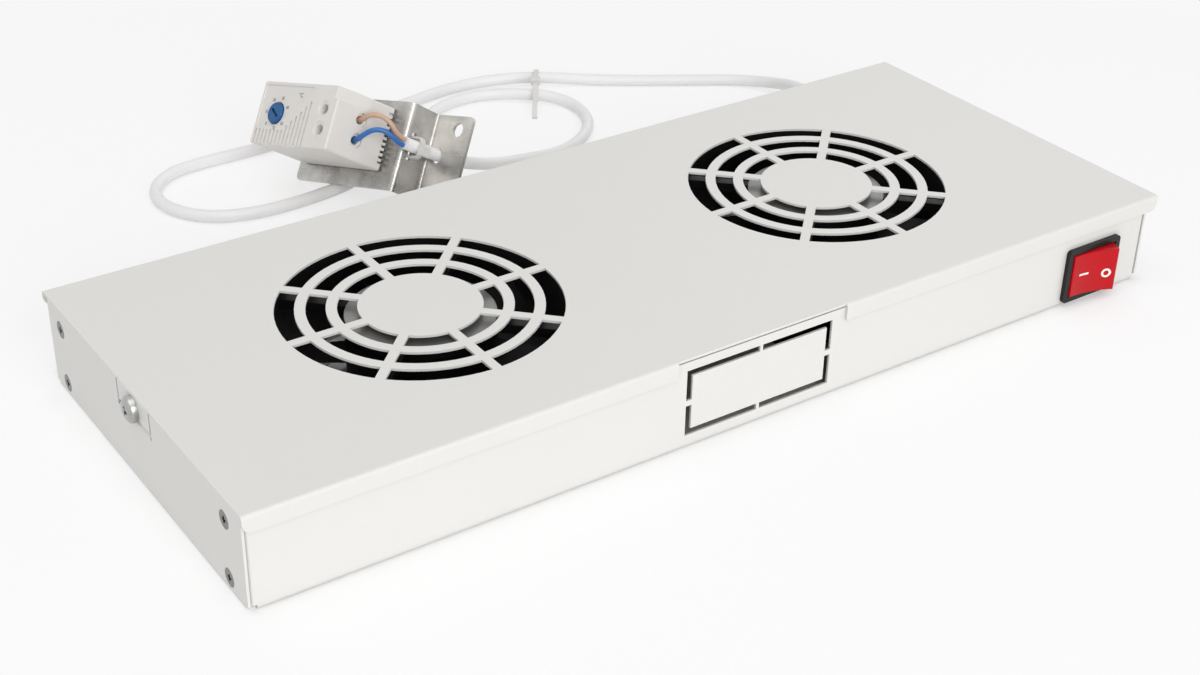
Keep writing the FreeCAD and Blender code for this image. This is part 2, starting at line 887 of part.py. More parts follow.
def make_impeller(label, place):
    """Five twisted blades lofted from root to tip, on a hub that is open at the top."""
    body = new_body(label, place)
    middle = (S.blade_low + S.blade_high) / 2
    root = blade_section(body, 20.0, 30.0, 48.0, 3.0, middle)
    tip = blade_section(body, 58.0, 47.0, 29.0, 5.0, middle)
    loft = body.newObject("PartDesign::AdditiveLoft", "Blade")
    loft.Profile = root
    loft.Sections = [tip]
    loft.Ruled = True
    axis = sketch(body, "XY")
    blades = around(body, loft, axis, 5)
    blades.Axis = (plane_of(body, "Z_Axis"), [""])
    hub = sketch(body, "XZ")
    outline(hub, [
        (CUP_OUTER - 4, FLOOR_GAP),
        (S.hub / 2, FLOOR_GAP, 1.0),
        (S.hub / 2, S.blade_high),
        (CUP_OUTER - 4, S.blade_high),
    ])
    revolve(body, hub)
    bore = sketch(body, "XZ")
    outline(bore, [
        (0, FLOOR_GAP - 3),
        (CUP_OUTER - 5, FLOOR_GAP - 3),
        (CUP_OUTER - 5, CUP_LOW),
        (CUP_OUTER, CUP_LOW),
        (CUP_OUTER, S.blade_high + 2),
        (0, S.blade_high + 2),
    ])
    groove(body, bore)
    trim = sketch(body, "XZ")
    outline(trim, [
        (S.impeller / 2, -2),
        (S.impeller, -2),
        (S.impeller, S.fan_height),
        (S.impeller / 2, S.fan_height),
    ])
    groove(body, trim)
    return body


def make_fan(side, place):
    """A complete fan; its rotor cup, shaft and impeller turn together about the fan's axis."""
    name = f"fan_{side}"
    x, y, z = place
    make_fan_frame(f"{name}_frame", place)
    turned_body(f"{name}_label", [
        (0, S.hub_top),
        (S.hub / 2 - 0.1, S.hub_top),
        (S.hub / 2 - 0.1, S.hub_top + 0.3),
        (0, S.hub_top + 0.3),
    ], place)
    make_impeller(f"{name}_impeller", place)
    shaft = S.shaft / 2
    turned_body(f"{name}_rotor_cup", [
        (shaft, CUP_LOW),
        (CUP_OUTER, CUP_LOW),
        (CUP_OUTER, CUP_TOP),
        (CUP_INNER, CUP_TOP),
        (CUP_INNER, CUP_WEB),
        (shaft, CUP_WEB),
    ], place)
    turned_body(f"{name}_shaft", [(0, CUP_LOW), (shaft, CUP_LOW), (shaft, SHAFT_TOP), (0, SHAFT_TOP)], place)

    bearings = new_body(f"{name}_bearings", place)
    ring_inner = shaft + S.shaft_gap
    for middle in (12, 29):
        drawing = sketch(bearings, "XZ")
        rectangle(drawing, (ring_inner + BEARING) / 2, middle, BEARING - ring_inner, BEARING_HEIGHT)
        revolve(bearings, drawing)

    stator = new_body(f"{name}_stator", place)
    core = sketch(stator, "XY", (0, 0, CORE_LOW))
    circle(core, 0, 0, 22)
    circle(core, 0, 0, BEARING_TUBE)
    pad(stator, core, CORE_HEIGHT)
    slot = sketch(stator, "XY", (0, 0, CORE_LOW + CORE_HEIGHT))
    rectangle(slot, 18.5, 0, 9, 4)
    cut = pocket(stator, slot, CORE_HEIGHT)
    around(stator, cut, slot, 8)

    windings = new_body(f"{name}_windings", place)
    coil_height = 3.5
    for middle in (CORE_LOW - coil_height / 2, CORE_LOW + CORE_HEIGHT + coil_height / 2):
        drawing = sketch(windings, "XZ")
        rectangle(drawing, 14, middle, 10, coil_height, 1.2)
        revolve(windings, drawing)

    shank = S.wall_screw / 2
    screws = new_body(f"{name}_screws", (x - FAN_HOLE, y - FAN_HOLE, 0))
    drawing = sketch(screws, "XZ")
    outline(drawing, [(0, 0), (3.1, 0), (shank, S.sheet), (shank, 9.5), (0, 9.5)])
    revolve(screws, drawing)
    nuts = new_body(f"{name}_nuts", (x - FAN_HOLE, y - FAN_HOLE, z + S.fan_flange))
    drawing = sketch(nuts, "XY")
    hexagon(drawing, 3.6)
    circle(drawing, 0, 0, shank + S.shaft_gap)
    pad(nuts, drawing, 3.2)
    for body in (screws, nuts):
        pattern = along(body, "X", S.fan_holes, 2)
        pattern.Direction2 = (plane_of(body, "Y_Axis"), [""])
        bind(pattern, "Length2", S.fan_holes)
        pattern.Occurrences2 = 2


# --- switch, inlet, gland and inner parts -------------------------------------------------------

FRONT_Y = S.base_y - S.base_depth / 2
REAR_Y = S.base_y + S.base_depth / 2
ROCKER_DEPTH = 4.0
HOUSING_DEPTH = 20.0
CAVITY_DEPTH = 15.0
PIVOT_PIN = 1.4


def make_switch():
    """Rocker switch snapped into the front wall; the rocker turns about an upright axis."""
    housing = new_body("switch_housing", (S.switch_x, FRONT_Y, S.switch_z))
    bezel = sketch(housing, "XZ")
    rectangle(bezel, 0, 0, S.bezel_width, S.bezel_height, 1.8)
    pad(housing, bezel, S.bezel_thick)
    box = sketch(housing, "XZ")
    rectangle(box, 0, 0, S.switch_width, S.switch_height)
    pad(housing, box, HOUSING_DEPTH, back=True)
    for side in (-1, 1):
        wing = sketch(housing, "XY", (0, 0, -4))
        outline(wing, [
            (S.switch_width / 2 * side, S.sheet + 0.1),
            ((S.switch_width / 2 + 1.2) * side, S.sheet + 0.1),
            (S.switch_width / 2 * side, S.sheet + 7),
        ])
        pad(housing, wing, 8)
    opening = sketch(housing, "XZ", (0, 0, S.bezel_thick))
    rectangle(opening, 0, 0, S.rocker_width, S.rocker_height + 0.6)
    pocket(housing, opening, CAVITY_DEPTH + S.bezel_thick)
    pivot_y = ROCKER_DEPTH - S.bezel_thick
    pivot = sketch(housing, "XY", (0, 0, -(S.rocker_height / 2 + 0.9)))
    circle(pivot, 0, pivot_y, PIVOT_PIN + 0.1)
    pocket(housing, pivot, S.rocker_height + 1.8, back=True)

    turn = FreeCAD.Rotation(FreeCAD.Vector(0, 0, 1), -SIZES["rocker_travel"] / 2)
    rocker = new_body("switch_rocker", (S.switch_x, FRONT_Y + pivot_y, S.switch_z), turn)
    tilt = math.radians(SIZES["rocker_travel"] / 2)
    ridge = -4.8
    tip_x = S.rocker_facet * math.cos(tilt)
    tip_y = ridge - S.rocker_facet * math.sin(tilt)
    foot_x = tip_x + math.sin(tilt) * 7.5
    foot_y = tip_y + math.cos(tilt) * 7.5
    face = sketch(rocker, "XY", (0, 0, -S.rocker_height / 2))
    outline(face, [
        (0, ridge, S.rocker_hollow),
        (-tip_x, tip_y, 0.5),
        (-foot_x, foot_y, 0.8),
        (-5.5, 4.5, 1.0),
        (5.5, 4.5, 1.0),
        (foot_x, foot_y, 0.8),
        (tip_x, tip_y, 0.5),
    ])
    pad(rocker, face, S.rocker_height)
    for side in (-1, 1):
        pin_end = sketch(rocker, "XY", (0, 0, S.rocker_height / 2 * side))
        circle(pin_end, 0, 0, PIVOT_PIN)
        pad(rocker, pin_end, 0.8, back=side < 0)

    terminals = new_body("switch_terminals", (S.switch_x, FRONT_Y + HOUSING_DEPTH, S.switch_z))
    blade = sketch(terminals, "XZ")
    for across in (-8, 0):
        for up in (-5, 5):
            rectangle(blade, across, up, 0.8, 4.8)
    pad(terminals, blade, 9, back=True)


def make_inlet():
    """Appliance inlet in the rear wall: flange outside, chamfered socket, three pins."""
    depth = 22.0
    socket = 17.0
    body = new_body("inlet_body", (S.inlet_x, REAR_Y, S.inlet_z))
    flange = sketch(body, "XZ")
    width = S.inlet_pitch / 2 + 4.5
    half_height = S.inlet_height / 2 + 1
    middle = S.inlet_width / 2 + 1.5
    outline(flange, [
        (-width, -3.0, 2.0), (-middle, -half_height, 2.0), (middle, -half_height, 2.0), (width, -3.0, 2.0),
        (width, 3.0, 2.0), (middle, half_height, 2.0), (-middle, half_height, 2.0), (-width, 3.0, 2.0),
    ])
    pad(body, flange, 3.0, back=True)
    box = sketch(body, "XZ")
    rectangle(box, 0, 0, S.inlet_width, S.inlet_height, 1.5)
    pad(body, box, depth)
    hollow = sketch(body, "XZ", (0, 0, -3.0))
    half_width = S.inlet_width / 2 - 1.6
    half_socket = S.inlet_height / 2 - 1.6
    outline(hollow, [
        (-half_width, -half_socket), (half_width, -half_socket), (half_width, half_socket - 5),
        (half_width - 5, half_socket), (5 - half_width, half_socket), (-half_width, half_socket - 5),
    ])
    pocket(body, hollow, socket + 3.0, back=True)
    pins = new_body("inlet_pins", (S.inlet_x, REAR_Y, S.inlet_z))
    holes = sketch(body, "XZ", (0, 0, socket))
    blades = sketch(pins, "XZ", (0, 0, depth + 8))
    for across, up in ((-7, -2), (7, -2), (0, 2)):
        rectangle(holes, across, up, 2, 4)
        rectangle(blades, across, up, 2, 4)
    pocket(body, holes, depth - socket, back=True)
    pad(pins, blades, depth + 8 - 2.5, back=True)
    screw_holes = sketch(body, "XZ", (0, 0, -3.0))
    for side in (-1, 1):
        circle(screw_holes, S.inlet_pitch / 2 * side, 0, 3.0)
    pocket(body, screw_holes, 3.0, back=True, taper=-24)

    screws = new_body("inlet_screws", (S.inlet_x - S.inlet_pitch / 2, REAR_Y, S.inlet_z))
    drawing = sketch(screws, "XY")
    outline(drawing, [(0, 3.0), (2.9, 3.0), (1.55, 0), (1.5, -6), (0, -6)])
    revolve(screws, drawing)
    along(screws, "X", S.inlet_pitch, 2)
    nuts = new_body("inlet_nuts", (S.inlet_x - S.inlet_pitch / 2, REAR_Y - S.sheet, S.inlet_z))
    drawing = sketch(nuts, "XZ")
    hexagon(drawing, 3.1)
    circle(drawing, 0, 0, 1.55)
    pad(nuts, drawing, 2.4)
    along(nuts, "X", S.inlet_pitch, 2)


def make_gland():
    """Threaded cord gland with a domed cap outside and a flat nut inside the rear wall."""
    out = FreeCAD.Rotation(FreeCAD.Vector(1, 0, 0), -90)
    thread = S.gland_thread / 2
    bore = S.cord / 2 + 0.1
    turned_body("cord_gland", [
        (bore, -8),
        (thread, -8),
        (thread, 0),
        (8.5, 0),
        (8.5, 5),
        (7.5, 5),
        (7.5, 11, 3.0),
        (bore + 0.9, 15.0),
        (bore, 15.0),
    ], (S.gland_x, REAR_Y, S.gland_z), out)
    nut = new_body("gland_nut", (S.gland_x, REAR_Y - S.sheet, S.gland_z))
    drawing = sketch(nut, "XZ")
    hexagon(drawing, 9.5)
    circle(drawing, 0, 0, thread + S.shaft_gap)
    pad(nut, drawing, 4.5)


def make_terminals():
    """Terminal block and earth stud on the floor of the right-hand bay."""
    block = new_body("terminal_block", (188.0, 26.0, S.sheet))
    drawing = sketch(block, "YZ", (0, 0, -8))
    outline(drawing, [
        (-16, 0), (16, 0), (16, 9, 1.0), (12, 14, 1.0), (-12, 14, 1.0), (-16, 9, 1.0),
    ])
    pad(block, drawing, 16)
    ways = sketch(block, "YZ", (0, 0, 8))
    tops = sketch(block, "XY", (0, 0, 14))
    for pole in (-8, 0, 8):
        circle(ways, pole, 6, 2.4)
        for across in (-4, 4):
            circle(tops, across, pole, 2.1)
    pocket(block, ways, 16)
    pocket(block, tops, 7)
    clamps = new_body("terminal_screws", (184.0, 18.0, S.sheet + 8.6))
    head = sketch(clamps, "XY")
    circle(head, 0, 0, 2.0)
    pad(clamps, head, 4)
    pattern = along(clamps, "X", 8, 2)
    pattern.Direction2 = (plane_of(clamps, "Y_Axis"), [""])
    pattern.Length2 = 16
    pattern.Occurrences2 = 3

    turned_body("earth_stud", [(0, 0), (4.5, 0), (4.5, 1.0), (2.0, 1.0), (2.0, 12), (0, 12)],
                (188.0, -22.0, S.sheet))
    nuts = new_body("earth_nut", (188.0, -22.0, S.sheet + 1.0))
    drawing = sketch(nuts, "XY")
    hexagon(drawing, 4.0)
    circle(drawing, 0, 0, 2.0 + S.shaft_gap)
    pad(nuts, drawing, 3.2)


# --- thermostat and bracket ---------------------------------------------------------------------

STAT_PLACE = (-52.58, 200.28, 8.25)
STAT_TURN = FreeCAD.Rotation(-77.2, -14.6, 55.3)
BIMETAL_ROOM = 3.0
RAIL_HEIGHT = 1.0
POLES = (9.3, 19.0)
POLE_X = 49.0
ENTRY_Z = 17.1
CLAMP_FLOOR = 14.0
LATCHES = (12.0, 47.0)
RELIEF = 0.5
BRACKET_TOP = 34.2
LEAD_X = 71.7
LEAD_Y = 14.2


def make_thermostat():
    """Bimetal thermostat: local X along its length, Y across, Z out of the face with the dial."""
    length, width, height = S.stat_length, S.stat_width, S.stat_height
    split = height - S.stat_cover
    housing = new_body("thermostat_housing", STAT_PLACE, STAT_TURN)
    box = sketch(housing, "XY")
    rectangle(box, length / 2, width / 2, length, width, 1.2)
    pad(housing, box, split)
    hollow = sketch(housing, "XY", (0, 0, split))
    rectangle(hollow, 20.0, width / 2, 34, width - 5)
    pocket(housing, hollow, split - BIMETAL_ROOM)
    teeth = sketch(housing, "YZ", (0, 0, length))
    for index in range(10):
        rectangle(teeth, 3.6 + index * 2.6, 1.1, 1.3, 2.4)
    pocket(housing, teeth, 2.4)
    rails = sketch(housing, "XY")
    rail_in = 2.5
    for y in (rail_in, width - rail_in):
        rectangle(rails, length / 2, y, length - 4, 2.5)
    pad(housing, rails, RAIL_HEIGHT, back=True)

    cover = new_body("thermostat_cover", STAT_PLACE, STAT_TURN)
    front = sketch(cover, "XY", (0, 0, split))
    rectangle(front, length / 2, width / 2, length, width, 1.2)
    pad(cover, front, S.stat_cover)
    soften(cover, "Fillet", 0.8, lambda edge: abs(edge.CenterOfMass.z - number(height)) < 0.01)
    cut_dial_field(cover, height)
    cut_ribs(cover, height)
    dial_hole = sketch(cover, "XY", (0, 0, height))
    circle(dial_hole, S.dial_x, S.dial_y, S.dial / 2 + 0.3)
    pocket(cover, dial_hole, 3.0)
    stem_hole = sketch(cover, "XY", (0, 0, height - 3))
    circle(stem_hole, S.dial_x, S.dial_y, 2.1)
    pocket(cover, stem_hole, 2.0)

    for body in (housing, cover):
        cut_wire_slope(body, length, height)
    entries = sketch(housing, "YZ", (0, 0, length))
    collars = sketch(housing, "YZ", (0, 0, length))
    clamp_holes = sketch(housing, "XY", (0, 0, split))
    access = sketch(cover, "XY", (0, 0, height))
    dishes = sketch(cover, "XY", (0, 0, height))
    for y in POLES:
        circle(entries, y, ENTRY_Z, 2.0)
        circle(collars, y, ENTRY_Z, 3.4)
        circle(clamp_holes, POLE_X, y, 2.6)
        circle(access, POLE_X, y, 2.5)
        circle(dishes, POLE_X, y, 3.9)
    pocket(housing, entries, 9.0)
    pocket(housing, collars, 1.3)
    pocket(housing, clamp_holes, split - CLAMP_FLOOR)
    pocket(cover, access, S.stat_cover)
    pocket(cover, dishes, RELIEF)

    make_dial(height)
    clamps = new_body("thermostat_clamps", STAT_PLACE, STAT_TURN)
    for y in POLES:
        clamp = sketch(clamps, "XY", (0, 0, CLAMP_FLOOR + 0.1))
        circle(clamp, POLE_X, y, 2.5)
        pad(clamps, clamp, 9.0)
    bimetal = new_body("thermostat_bimetal", STAT_PLACE, STAT_TURN)
    strip = sketch(bimetal, "XZ", (0, 0, -(width + 8) / 2))
    outline(strip, [
        (36.9, 5.0), (36.9, 6.2), (8.0, 8.6), (8.0, 8.0), (33.0, 5.6), (33.0, BIMETAL_ROOM),
        (36.9, BIMETAL_ROOM),
    ])
    pad(bimetal, strip, 8.0)
    latch = new_body("thermostat_latch", STAT_PLACE, STAT_TURN)
    foot = sketch(latch, "XY")
    for x in LATCHES:
        rectangle(foot, x, width / 2, 5.0, 10.0, 0.8)
    pad(latch, foot, RAIL_HEIGHT + S.plate + 1.2, back=True)


def cut_dial_field(cover, height):
    """Sink the field round the dial a little, up to the slanted band across the face."""
    field = sketch(cover, "XY", (0, 0, height))
    outline(field, [
        (1.6, 8.9, 1.0),
        (17.3, 8.9, 5.0),
        (39.8, S.stat_width - 1.6, 0.6),
        (1.6, S.stat_width - 1.6, 1.5),
    ])
    pocket(cover, field, RELIEF)


def cut_ribs(cover, height):
    """Grip grooves that run off the lower edge and end along the slanted band."""
    pitch = 2.8
    grooves = sketch(cover, "XY", (0, 0, height))
    for index in range(14):
        x = 2.4 + pitch * index
        top = max(7.2, 7.2 + 0.87 * (x - 22.0))
        rectangle(grooves, x, (top - 1) / 2, 1.3, top + 1)
    pocket(cover, grooves, 0.9)


def cut_wire_slope(body, length, height):
    """The end face slants in towards the cover between two cheeks, for the wires."""
    slope = 19.0
    depth = 2.5
    wedge = sketch(body, "XZ", (0, 0, -(S.stat_width - 6.6)))
    outline(wedge, [
        (length + 1, height - slope),
        (length, height - slope),
        (length - depth * (slope + 1) / slope, height + 1),
        (length + 1, height + 1),
    ])
    pocket(body, wedge, S.stat_width - 8.4)


def make_dial(height):
    """Dial with a slot for a screwdriver, on a stem that turns in the cover."""
    proud = 1.7
    dial = new_body("thermostat_dial", STAT_PLACE, STAT_TURN)
    knob = sketch(dial, "XY", (S.dial_x, S.dial_y, height - 2.8))
    circle(knob, 0, 0, S.dial / 2)
    pad(dial, knob, proud + 2.8)
    soften(dial, "Fillet", 0.5, lambda edge: abs(edge.CenterOfMass.z - number(height + proud)) < 0.01)
    stem = sketch(dial, "XY", (S.dial_x, S.dial_y, height - 9))
    circle(stem, 0, 0, 2.0)
    pad(dial, stem, 7.0)
    slot = sketch(dial, "XY", (S.dial_x, S.dial_y, height + proud))
    turn = math.radians(-35)
    corners = []
    for along_slot, across_slot in ((-3.4, -0.7), (3.4, -0.7), (3.4, 0.7), (-3.4, 0.7)):
        corners.append((
            along_slot * math.cos(turn) - across_slot * math.sin(turn),
            along_slot * math.sin(turn) + across_slot * math.cos(turn),
        ))
    outline(slot, corners)
    pocket(dial, slot, 1.2)


def make_bracket():
    """Sheet bracket bent twice: the thermostat's plate, a step and the fixing plate."""
    body = new_body("thermostat_bracket", STAT_PLACE, STAT_TURN)
    thick = S.plate
    inner = 1.0
    start, end = -3.1, 90.2
    top_fold, low_fold = 68.4, 65.3
    rest, drop = -RAIL_HEIGHT, -20.0
    fold_shift = thick * 1.18
    profile = sketch(body, "XZ", (0, 0, -BRACKET_TOP))
    outline(profile, [
        (start, rest),
        (top_fold, rest, inner + thick),
        (low_fold, drop, inner),
        (end, drop),
        (end, drop - thick),
        (low_fold - fold_shift, drop - thick, inner + thick),
        (top_fold - fold_shift, rest - thick, inner),
        (start, rest - thick),
    ])
    pad(body, profile, S.bracket_wide)

    def plate_corner(edge):
        at = edge.CenterOfMass
        return runs_along(edge, "z") and (at.x < start + 1 or at.x > end - 1)

    soften(body, "Fillet", 2.5, plate_corner)
    windows = sketch(body, "XY", (0, 0, 0))
    for x in LATCHES:
        rectangle(windows, x, S.stat_width / 2, 6.0, 11.0, 0.8)
    pocket(body, windows, 4.0)
    holes = sketch(body, "XY", (0, 0, -15))
    for y in (27.5, -1.6):
        circle(holes, 81.2, y, 3.4)
    circle(holes, LEAD_X, LEAD_Y, S.cord / 2 + 0.5)
    pocket(body, holes, 10.0)
    slots = sketch(body, "YZ", (0, 0, low_fold - 3.6))
    for y in (LEAD_Y + 5, LEAD_Y - 4):
        rectangle(slots, y, -7.0, 4.0, 3.0)
    pocket(body, slots, 10.0, back=True)


# --- cords, wires and ties ----------------------------------------------------------------------

# From the gland, down to the ground, once round the thermostat in a loose loop and up through
# the hole in its bracket.
CORD_ROUTE = [
    (195.0, 99.8, 20.0), (195.4, 114.5, 19.4), (199.8, 131.0, 15.5), (206.5, 147.5, 9.5),
    (207.5, 164.5, 4.6), (197.0, 179.5, 3.0), (177.0, 191.5, 3.0), (154.0, 205.0, 3.0),
    (131.0, 220.0, 3.0), (112.0, 233.0, 4.2), (96.0, 242.5, 4.2), (76.0, 250.5, 3.0),
    (54.0, 250.5, 3.0), (30.0, 245.0, 3.0), (0.0, 241.5, 3.0), (-32.0, 239.5, 3.0),
    (-62.0, 236.0, 3.0), (-86.0, 236.5, 3.0), (-108.0, 234.0, 3.0), (-123.0, 219.0, 3.0),
    (-124.0, 199.0, 3.0), (-112.0, 180.5, 3.0), (-90.0, 172.5, 3.0), (-64.0, 173.0, 3.0),
    (-40.0, 177.0, 3.0), (-18.0, 189.0, 3.0), (2.0, 205.5, 3.0), (22.0, 218.5, 3.0),
    (42.0, 232.5, 3.0), (62.0, 236.0, 3.0), (75.0, 231.5, 3.4), (86.0, 223.0, 4.2),
    (97.5, 213.5, 4.2), (104.5, 200.0, 3.0), (102.5, 184.5, 3.0), (95.0, 170.5, 3.0),
    (82.0, 159.0, 3.0), (66.0, 152.5, 3.0), (42.5, 151.3, 5.2), (18.5, 146.6, 10.6),
    (-7.49, 138.44, 22.8), (-30.82, 137.27, 38.23),
]

# In the thermostat's own frame, from the end of the cord's sheath into the two entries.
BROWN_ROUTE = [
    (71.7, 15.6, 1.4), (71.7, 16.6, 6.8), (71.2, 20.6, 11.2), (67.8, 22.6, 15.0), (62.9, 21.9, 17.8),
    (58.2, 19.1, 17.2), (52.5, 19.0, 17.1),
]
BLUE_ROUTE = [
    (71.7, 12.8, 1.4), (71.7, 13.9, 6.6), (70.2, 16.4, 11.4), (66.8, 15.8, 15.8), (62.6, 12.6, 17.6),
    (58.2, 9.35, 17.1), (52.5, 9.3, 17.1),
]

INNER_WIRES = {
    "wire_inlet_live": [
        (7.0, 54.8, 18.0), (7.0, 45.0, 18.0), (16.0, 35.0, 13.0), (28.0, 40.0, 6.0), (32.5, 55.0, 3.0),
        (42.0, 68.0, 2.5), (85.0, 66.0, 2.5), (130.0, 65.5, 2.5), (152.0, 66.5, 2.5), (163.5, 62.0, 2.6),
        (163.5, 46.0, 2.6), (163.0, 20.0, 2.6), (163.5, -8.0, 3.0), (168.0, -30.0, 9.0), (174.5, -46.0, 19.6),
        (174.5, -59.9, 19.6),
    ],
    "wire_inlet_neutral": [
        (-7.0, 54.8, 18.0), (-7.0, 45.0, 18.0), (-1.0, 34.0, 11.0), (12.0, 38.0, 4.0), (20.0, 56.0, 2.5),
        (34.0, 73.0, 2.5), (80.0, 74.0, 2.5), (130.0, 73.5, 2.5), (158.0, 74.0, 2.5), (171.0, 69.0, 3.0),
        (172.5, 57.0, 4.5), (171.0, 48.0, 6.0), (171.5, 39.5, 7.0), (176.5, 34.0, 7.0), (184.0, 34.0, 7.0),
    ],
    "wire_inlet_earth": [
        (0.0, 54.8, 22.0), (0.0, 43.0, 22.0), (10.0, 29.0, 18.0), (24.0, 27.0, 13.0), (33.0, 40.0, 10.0),
        (34.0, 58.0, 9.0), (48.0, 69.5, 6.0), (86.0, 70.0, 2.6), (130.0, 69.5, 2.6), (156.0, 70.0, 2.6),
        (167.5, 64.0, 2.6), (167.5, 48.0, 2.6), (167.0, 20.0, 2.6), (167.5, -6.0, 2.8), (173.0, -18.0, 3.0),
        (184.0, -22.0, 3.3),
    ],
    "wire_switched_live": [
        (182.5, -59.9, 19.6), (182.5, -51.0, 19.6), (193.0, -38.0, 15.0), (205.0, -20.0, 8.0),
        (206.0, 1.0, 6.0), (206.0, 11.5, 6.8), (200.5, 18.0, 7.0), (192.0, 18.0, 7.0),
    ],
    "lead_fan_left": [
        (-41.05, 1.0, 20.0), (-33.0, 1.0, 20.0), (-24.0, 11.0, 14.0), (-19.0, 34.0, 5.0), (-8.0, 62.0, 3.0),
        (18.0, 77.5, 2.6), (70.0, 79.0, 2.6), (120.0, 78.5, 2.6), (160.0, 79.0, 2.6), (176.0, 74.0, 4.0),
        (178.5, 60.0, 8.0), (175.0, 47.0, 11.5), (169.0, 38.0, 11.5), (168.0, 30.5, 9.5), (173.0, 26.0, 7.6),
        (184.0, 26.0, 7.0),
    ],
    "lead_fan_right": [
        (159.95, 1.0, 20.0), (166.5, 1.0, 20.0), (172.0, 6.0, 15.5), (173.5, 12.5, 10.0), (176.5, 17.3, 7.3),
        (184.0, 18.0, 7.0),
    ],
    "wire_stat_brown": [
        (193.5, 76.8, 20.0), (193.5, 67.0, 20.0), (199.0, 54.0, 14.0), (204.5, 43.0, 8.5), (201.0, 35.5, 7.0),
        (192.0, 34.0, 7.0),
    ],
    "wire_stat_blue": [
        (196.5, 76.8, 20.0), (196.5, 66.0, 20.0), (205.0, 53.0, 13.0), (209.0, 40.0, 8.5), (205.0, 28.0, 7.0),
        (192.0, 26.0, 7.0),
    ],
}


def stadium(drawing, length, radius, height):
    """A closed band outline whose ends are all but half circles, their middles a length apart."""
    rectangle(drawing, 0, height, length + radius * 2, radius * 2, radius * 0.999)


def make_cords():
    tube("thermostat_cord", CORD_ROUTE, S.cord)
    frame = FreeCAD.Placement(FreeCAD.Vector(*STAT_PLACE), STAT_TURN)
    for label, route in (("wire_brown", BROWN_ROUTE), ("wire_blue", BLUE_ROUTE)):
        points = [frame.multVec(FreeCAD.Vector(*point)) for point in route]
        tube(label, [tuple(point) for point in points], S.wire)
    for label, route in INNER_WIRES.items():
        tube(label, route, S.wire)


def make_ties():
    """A cable tie round both strands of the loop, and one that holds the cord to the bracket."""
    turn = FreeCAD.Rotation(FreeCAD.Vector(0, 0, 1), 56.2)
    tie = new_body("cord_tie", (99.08, 227.17, 0), turn)
    width = 2.6
    band = sketch(tie, "XZ", (0, 0, -width / 2))
    stadium(band, 23.24, 4.1, 4.2)
    stadium(band, 23.24, 3.25, 4.2)
    pad(tie, band, width)
    head = sketch(tie, "XZ", (0, 0, -2.3))
    outline(head, [(-9.0, 8.2), (-4.0, 8.2), (-4.0, 11.6, 0.5), (-9.0, 11.6, 0.5)])
    pad(tie, head, 4.6)
    tail = sketch(tie, "XZ", (0, 0, -width / 2))
    outline(tail, [
        (-8.0, 9.4), (-12.0, 9.3, 6.0), (-22.0, 4.3, 8.0), (-34.0, 0.3), (-34.0, 1.2), (-22.0, 5.4, 8.0),
        (-12.0, 10.4, 6.0), (-8.0, 10.4),
    ])
    pad(tie, tail, width)

    small = new_body("bracket_tie", STAT_PLACE, STAT_TURN)
    band = sketch(small, "XY", (0, 0, -8.2))
    middle = LEAD_X - 1.85
    rectangle(band, middle, LEAD_Y, 11.9, 10.4, 3.6)
    rectangle(band, middle, LEAD_Y, 9.9, 8.4, 2.7)
    pad(small, band, 2.4)
    head = sketch(small, "XY", (0, 0, -9.3))
    rectangle(head, LEAD_X + 5.6, LEAD_Y - 1.5, 3.4, 4.6, 0.5)
    pad(small, head, 4.6)


make_base()
make_lid()
make_lid_fasteners()
make_wall_fasteners()
for side, name in ((-1, "left"), (1, "right")):
    make_fan(name, (FAN_X * side, S.fan_y, S.sheet))
make_switch()
make_inlet()
make_gland()
make_terminals()
make_thermostat()
make_bracket()
make_cords()
make_ties()


# --- build and write ----------------------------------------------------------------------------


def check_and_write():
    """Stop on any failed feature or broken solid, then write one file for each sub-part."""
    doc.recompute()
    for item in doc.Objects:
        if "Invalid" in item.State or "Error" in item.State:
            raise RuntimeError(f"{item.Label} did not recompute")
    for label, item in NODES.items():
        if item.Shape.isNull() or not item.Shape.isValid():
            raise RuntimeError(f"{label} has no valid shape")
    for label, item in NODES.items():
        item.Shape.exportStep(os.path.join("parts", label + ".step"))
        print(f"{label}: {len(item.Shape.Solids)} solids, {item.Shape.Volume / 1000:.2f} cm3")


check_and_write()
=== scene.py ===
"""Finishes of the 1U rack fan tray, set up as the stages of a small Blender add-on.

Everything is in metres in the tray's own frame: X along its length, the front towards -Y, Z up.
"""

import math

import bmesh
import bpy

from mathutils import Euler, Matrix, Vector


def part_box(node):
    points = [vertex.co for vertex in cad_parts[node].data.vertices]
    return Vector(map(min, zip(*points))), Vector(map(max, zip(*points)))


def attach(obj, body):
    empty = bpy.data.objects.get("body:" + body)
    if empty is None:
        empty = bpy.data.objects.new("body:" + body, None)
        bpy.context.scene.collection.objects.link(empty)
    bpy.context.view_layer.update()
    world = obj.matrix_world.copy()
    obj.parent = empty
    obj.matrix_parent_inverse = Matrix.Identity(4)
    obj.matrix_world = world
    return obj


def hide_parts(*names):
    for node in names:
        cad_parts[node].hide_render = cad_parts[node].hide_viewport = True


bl_info = {
    "name": "Rack fan tray",
    "version": (1, 0, 0),
    "blender": (4, 5, 0),
    "location": "3D View > Sidebar > Fan Tray",
    "description": "Dresses the solids of a 1U rack fan tray with finishes, cords and small parts",
    "category": "Object",
}

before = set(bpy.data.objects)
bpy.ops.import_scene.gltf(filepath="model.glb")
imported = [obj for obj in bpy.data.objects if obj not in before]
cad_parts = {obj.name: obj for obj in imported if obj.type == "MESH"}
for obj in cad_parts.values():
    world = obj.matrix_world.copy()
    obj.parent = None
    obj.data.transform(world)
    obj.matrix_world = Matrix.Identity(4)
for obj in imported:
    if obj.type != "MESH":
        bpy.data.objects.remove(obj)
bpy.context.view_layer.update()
MM = 0.001
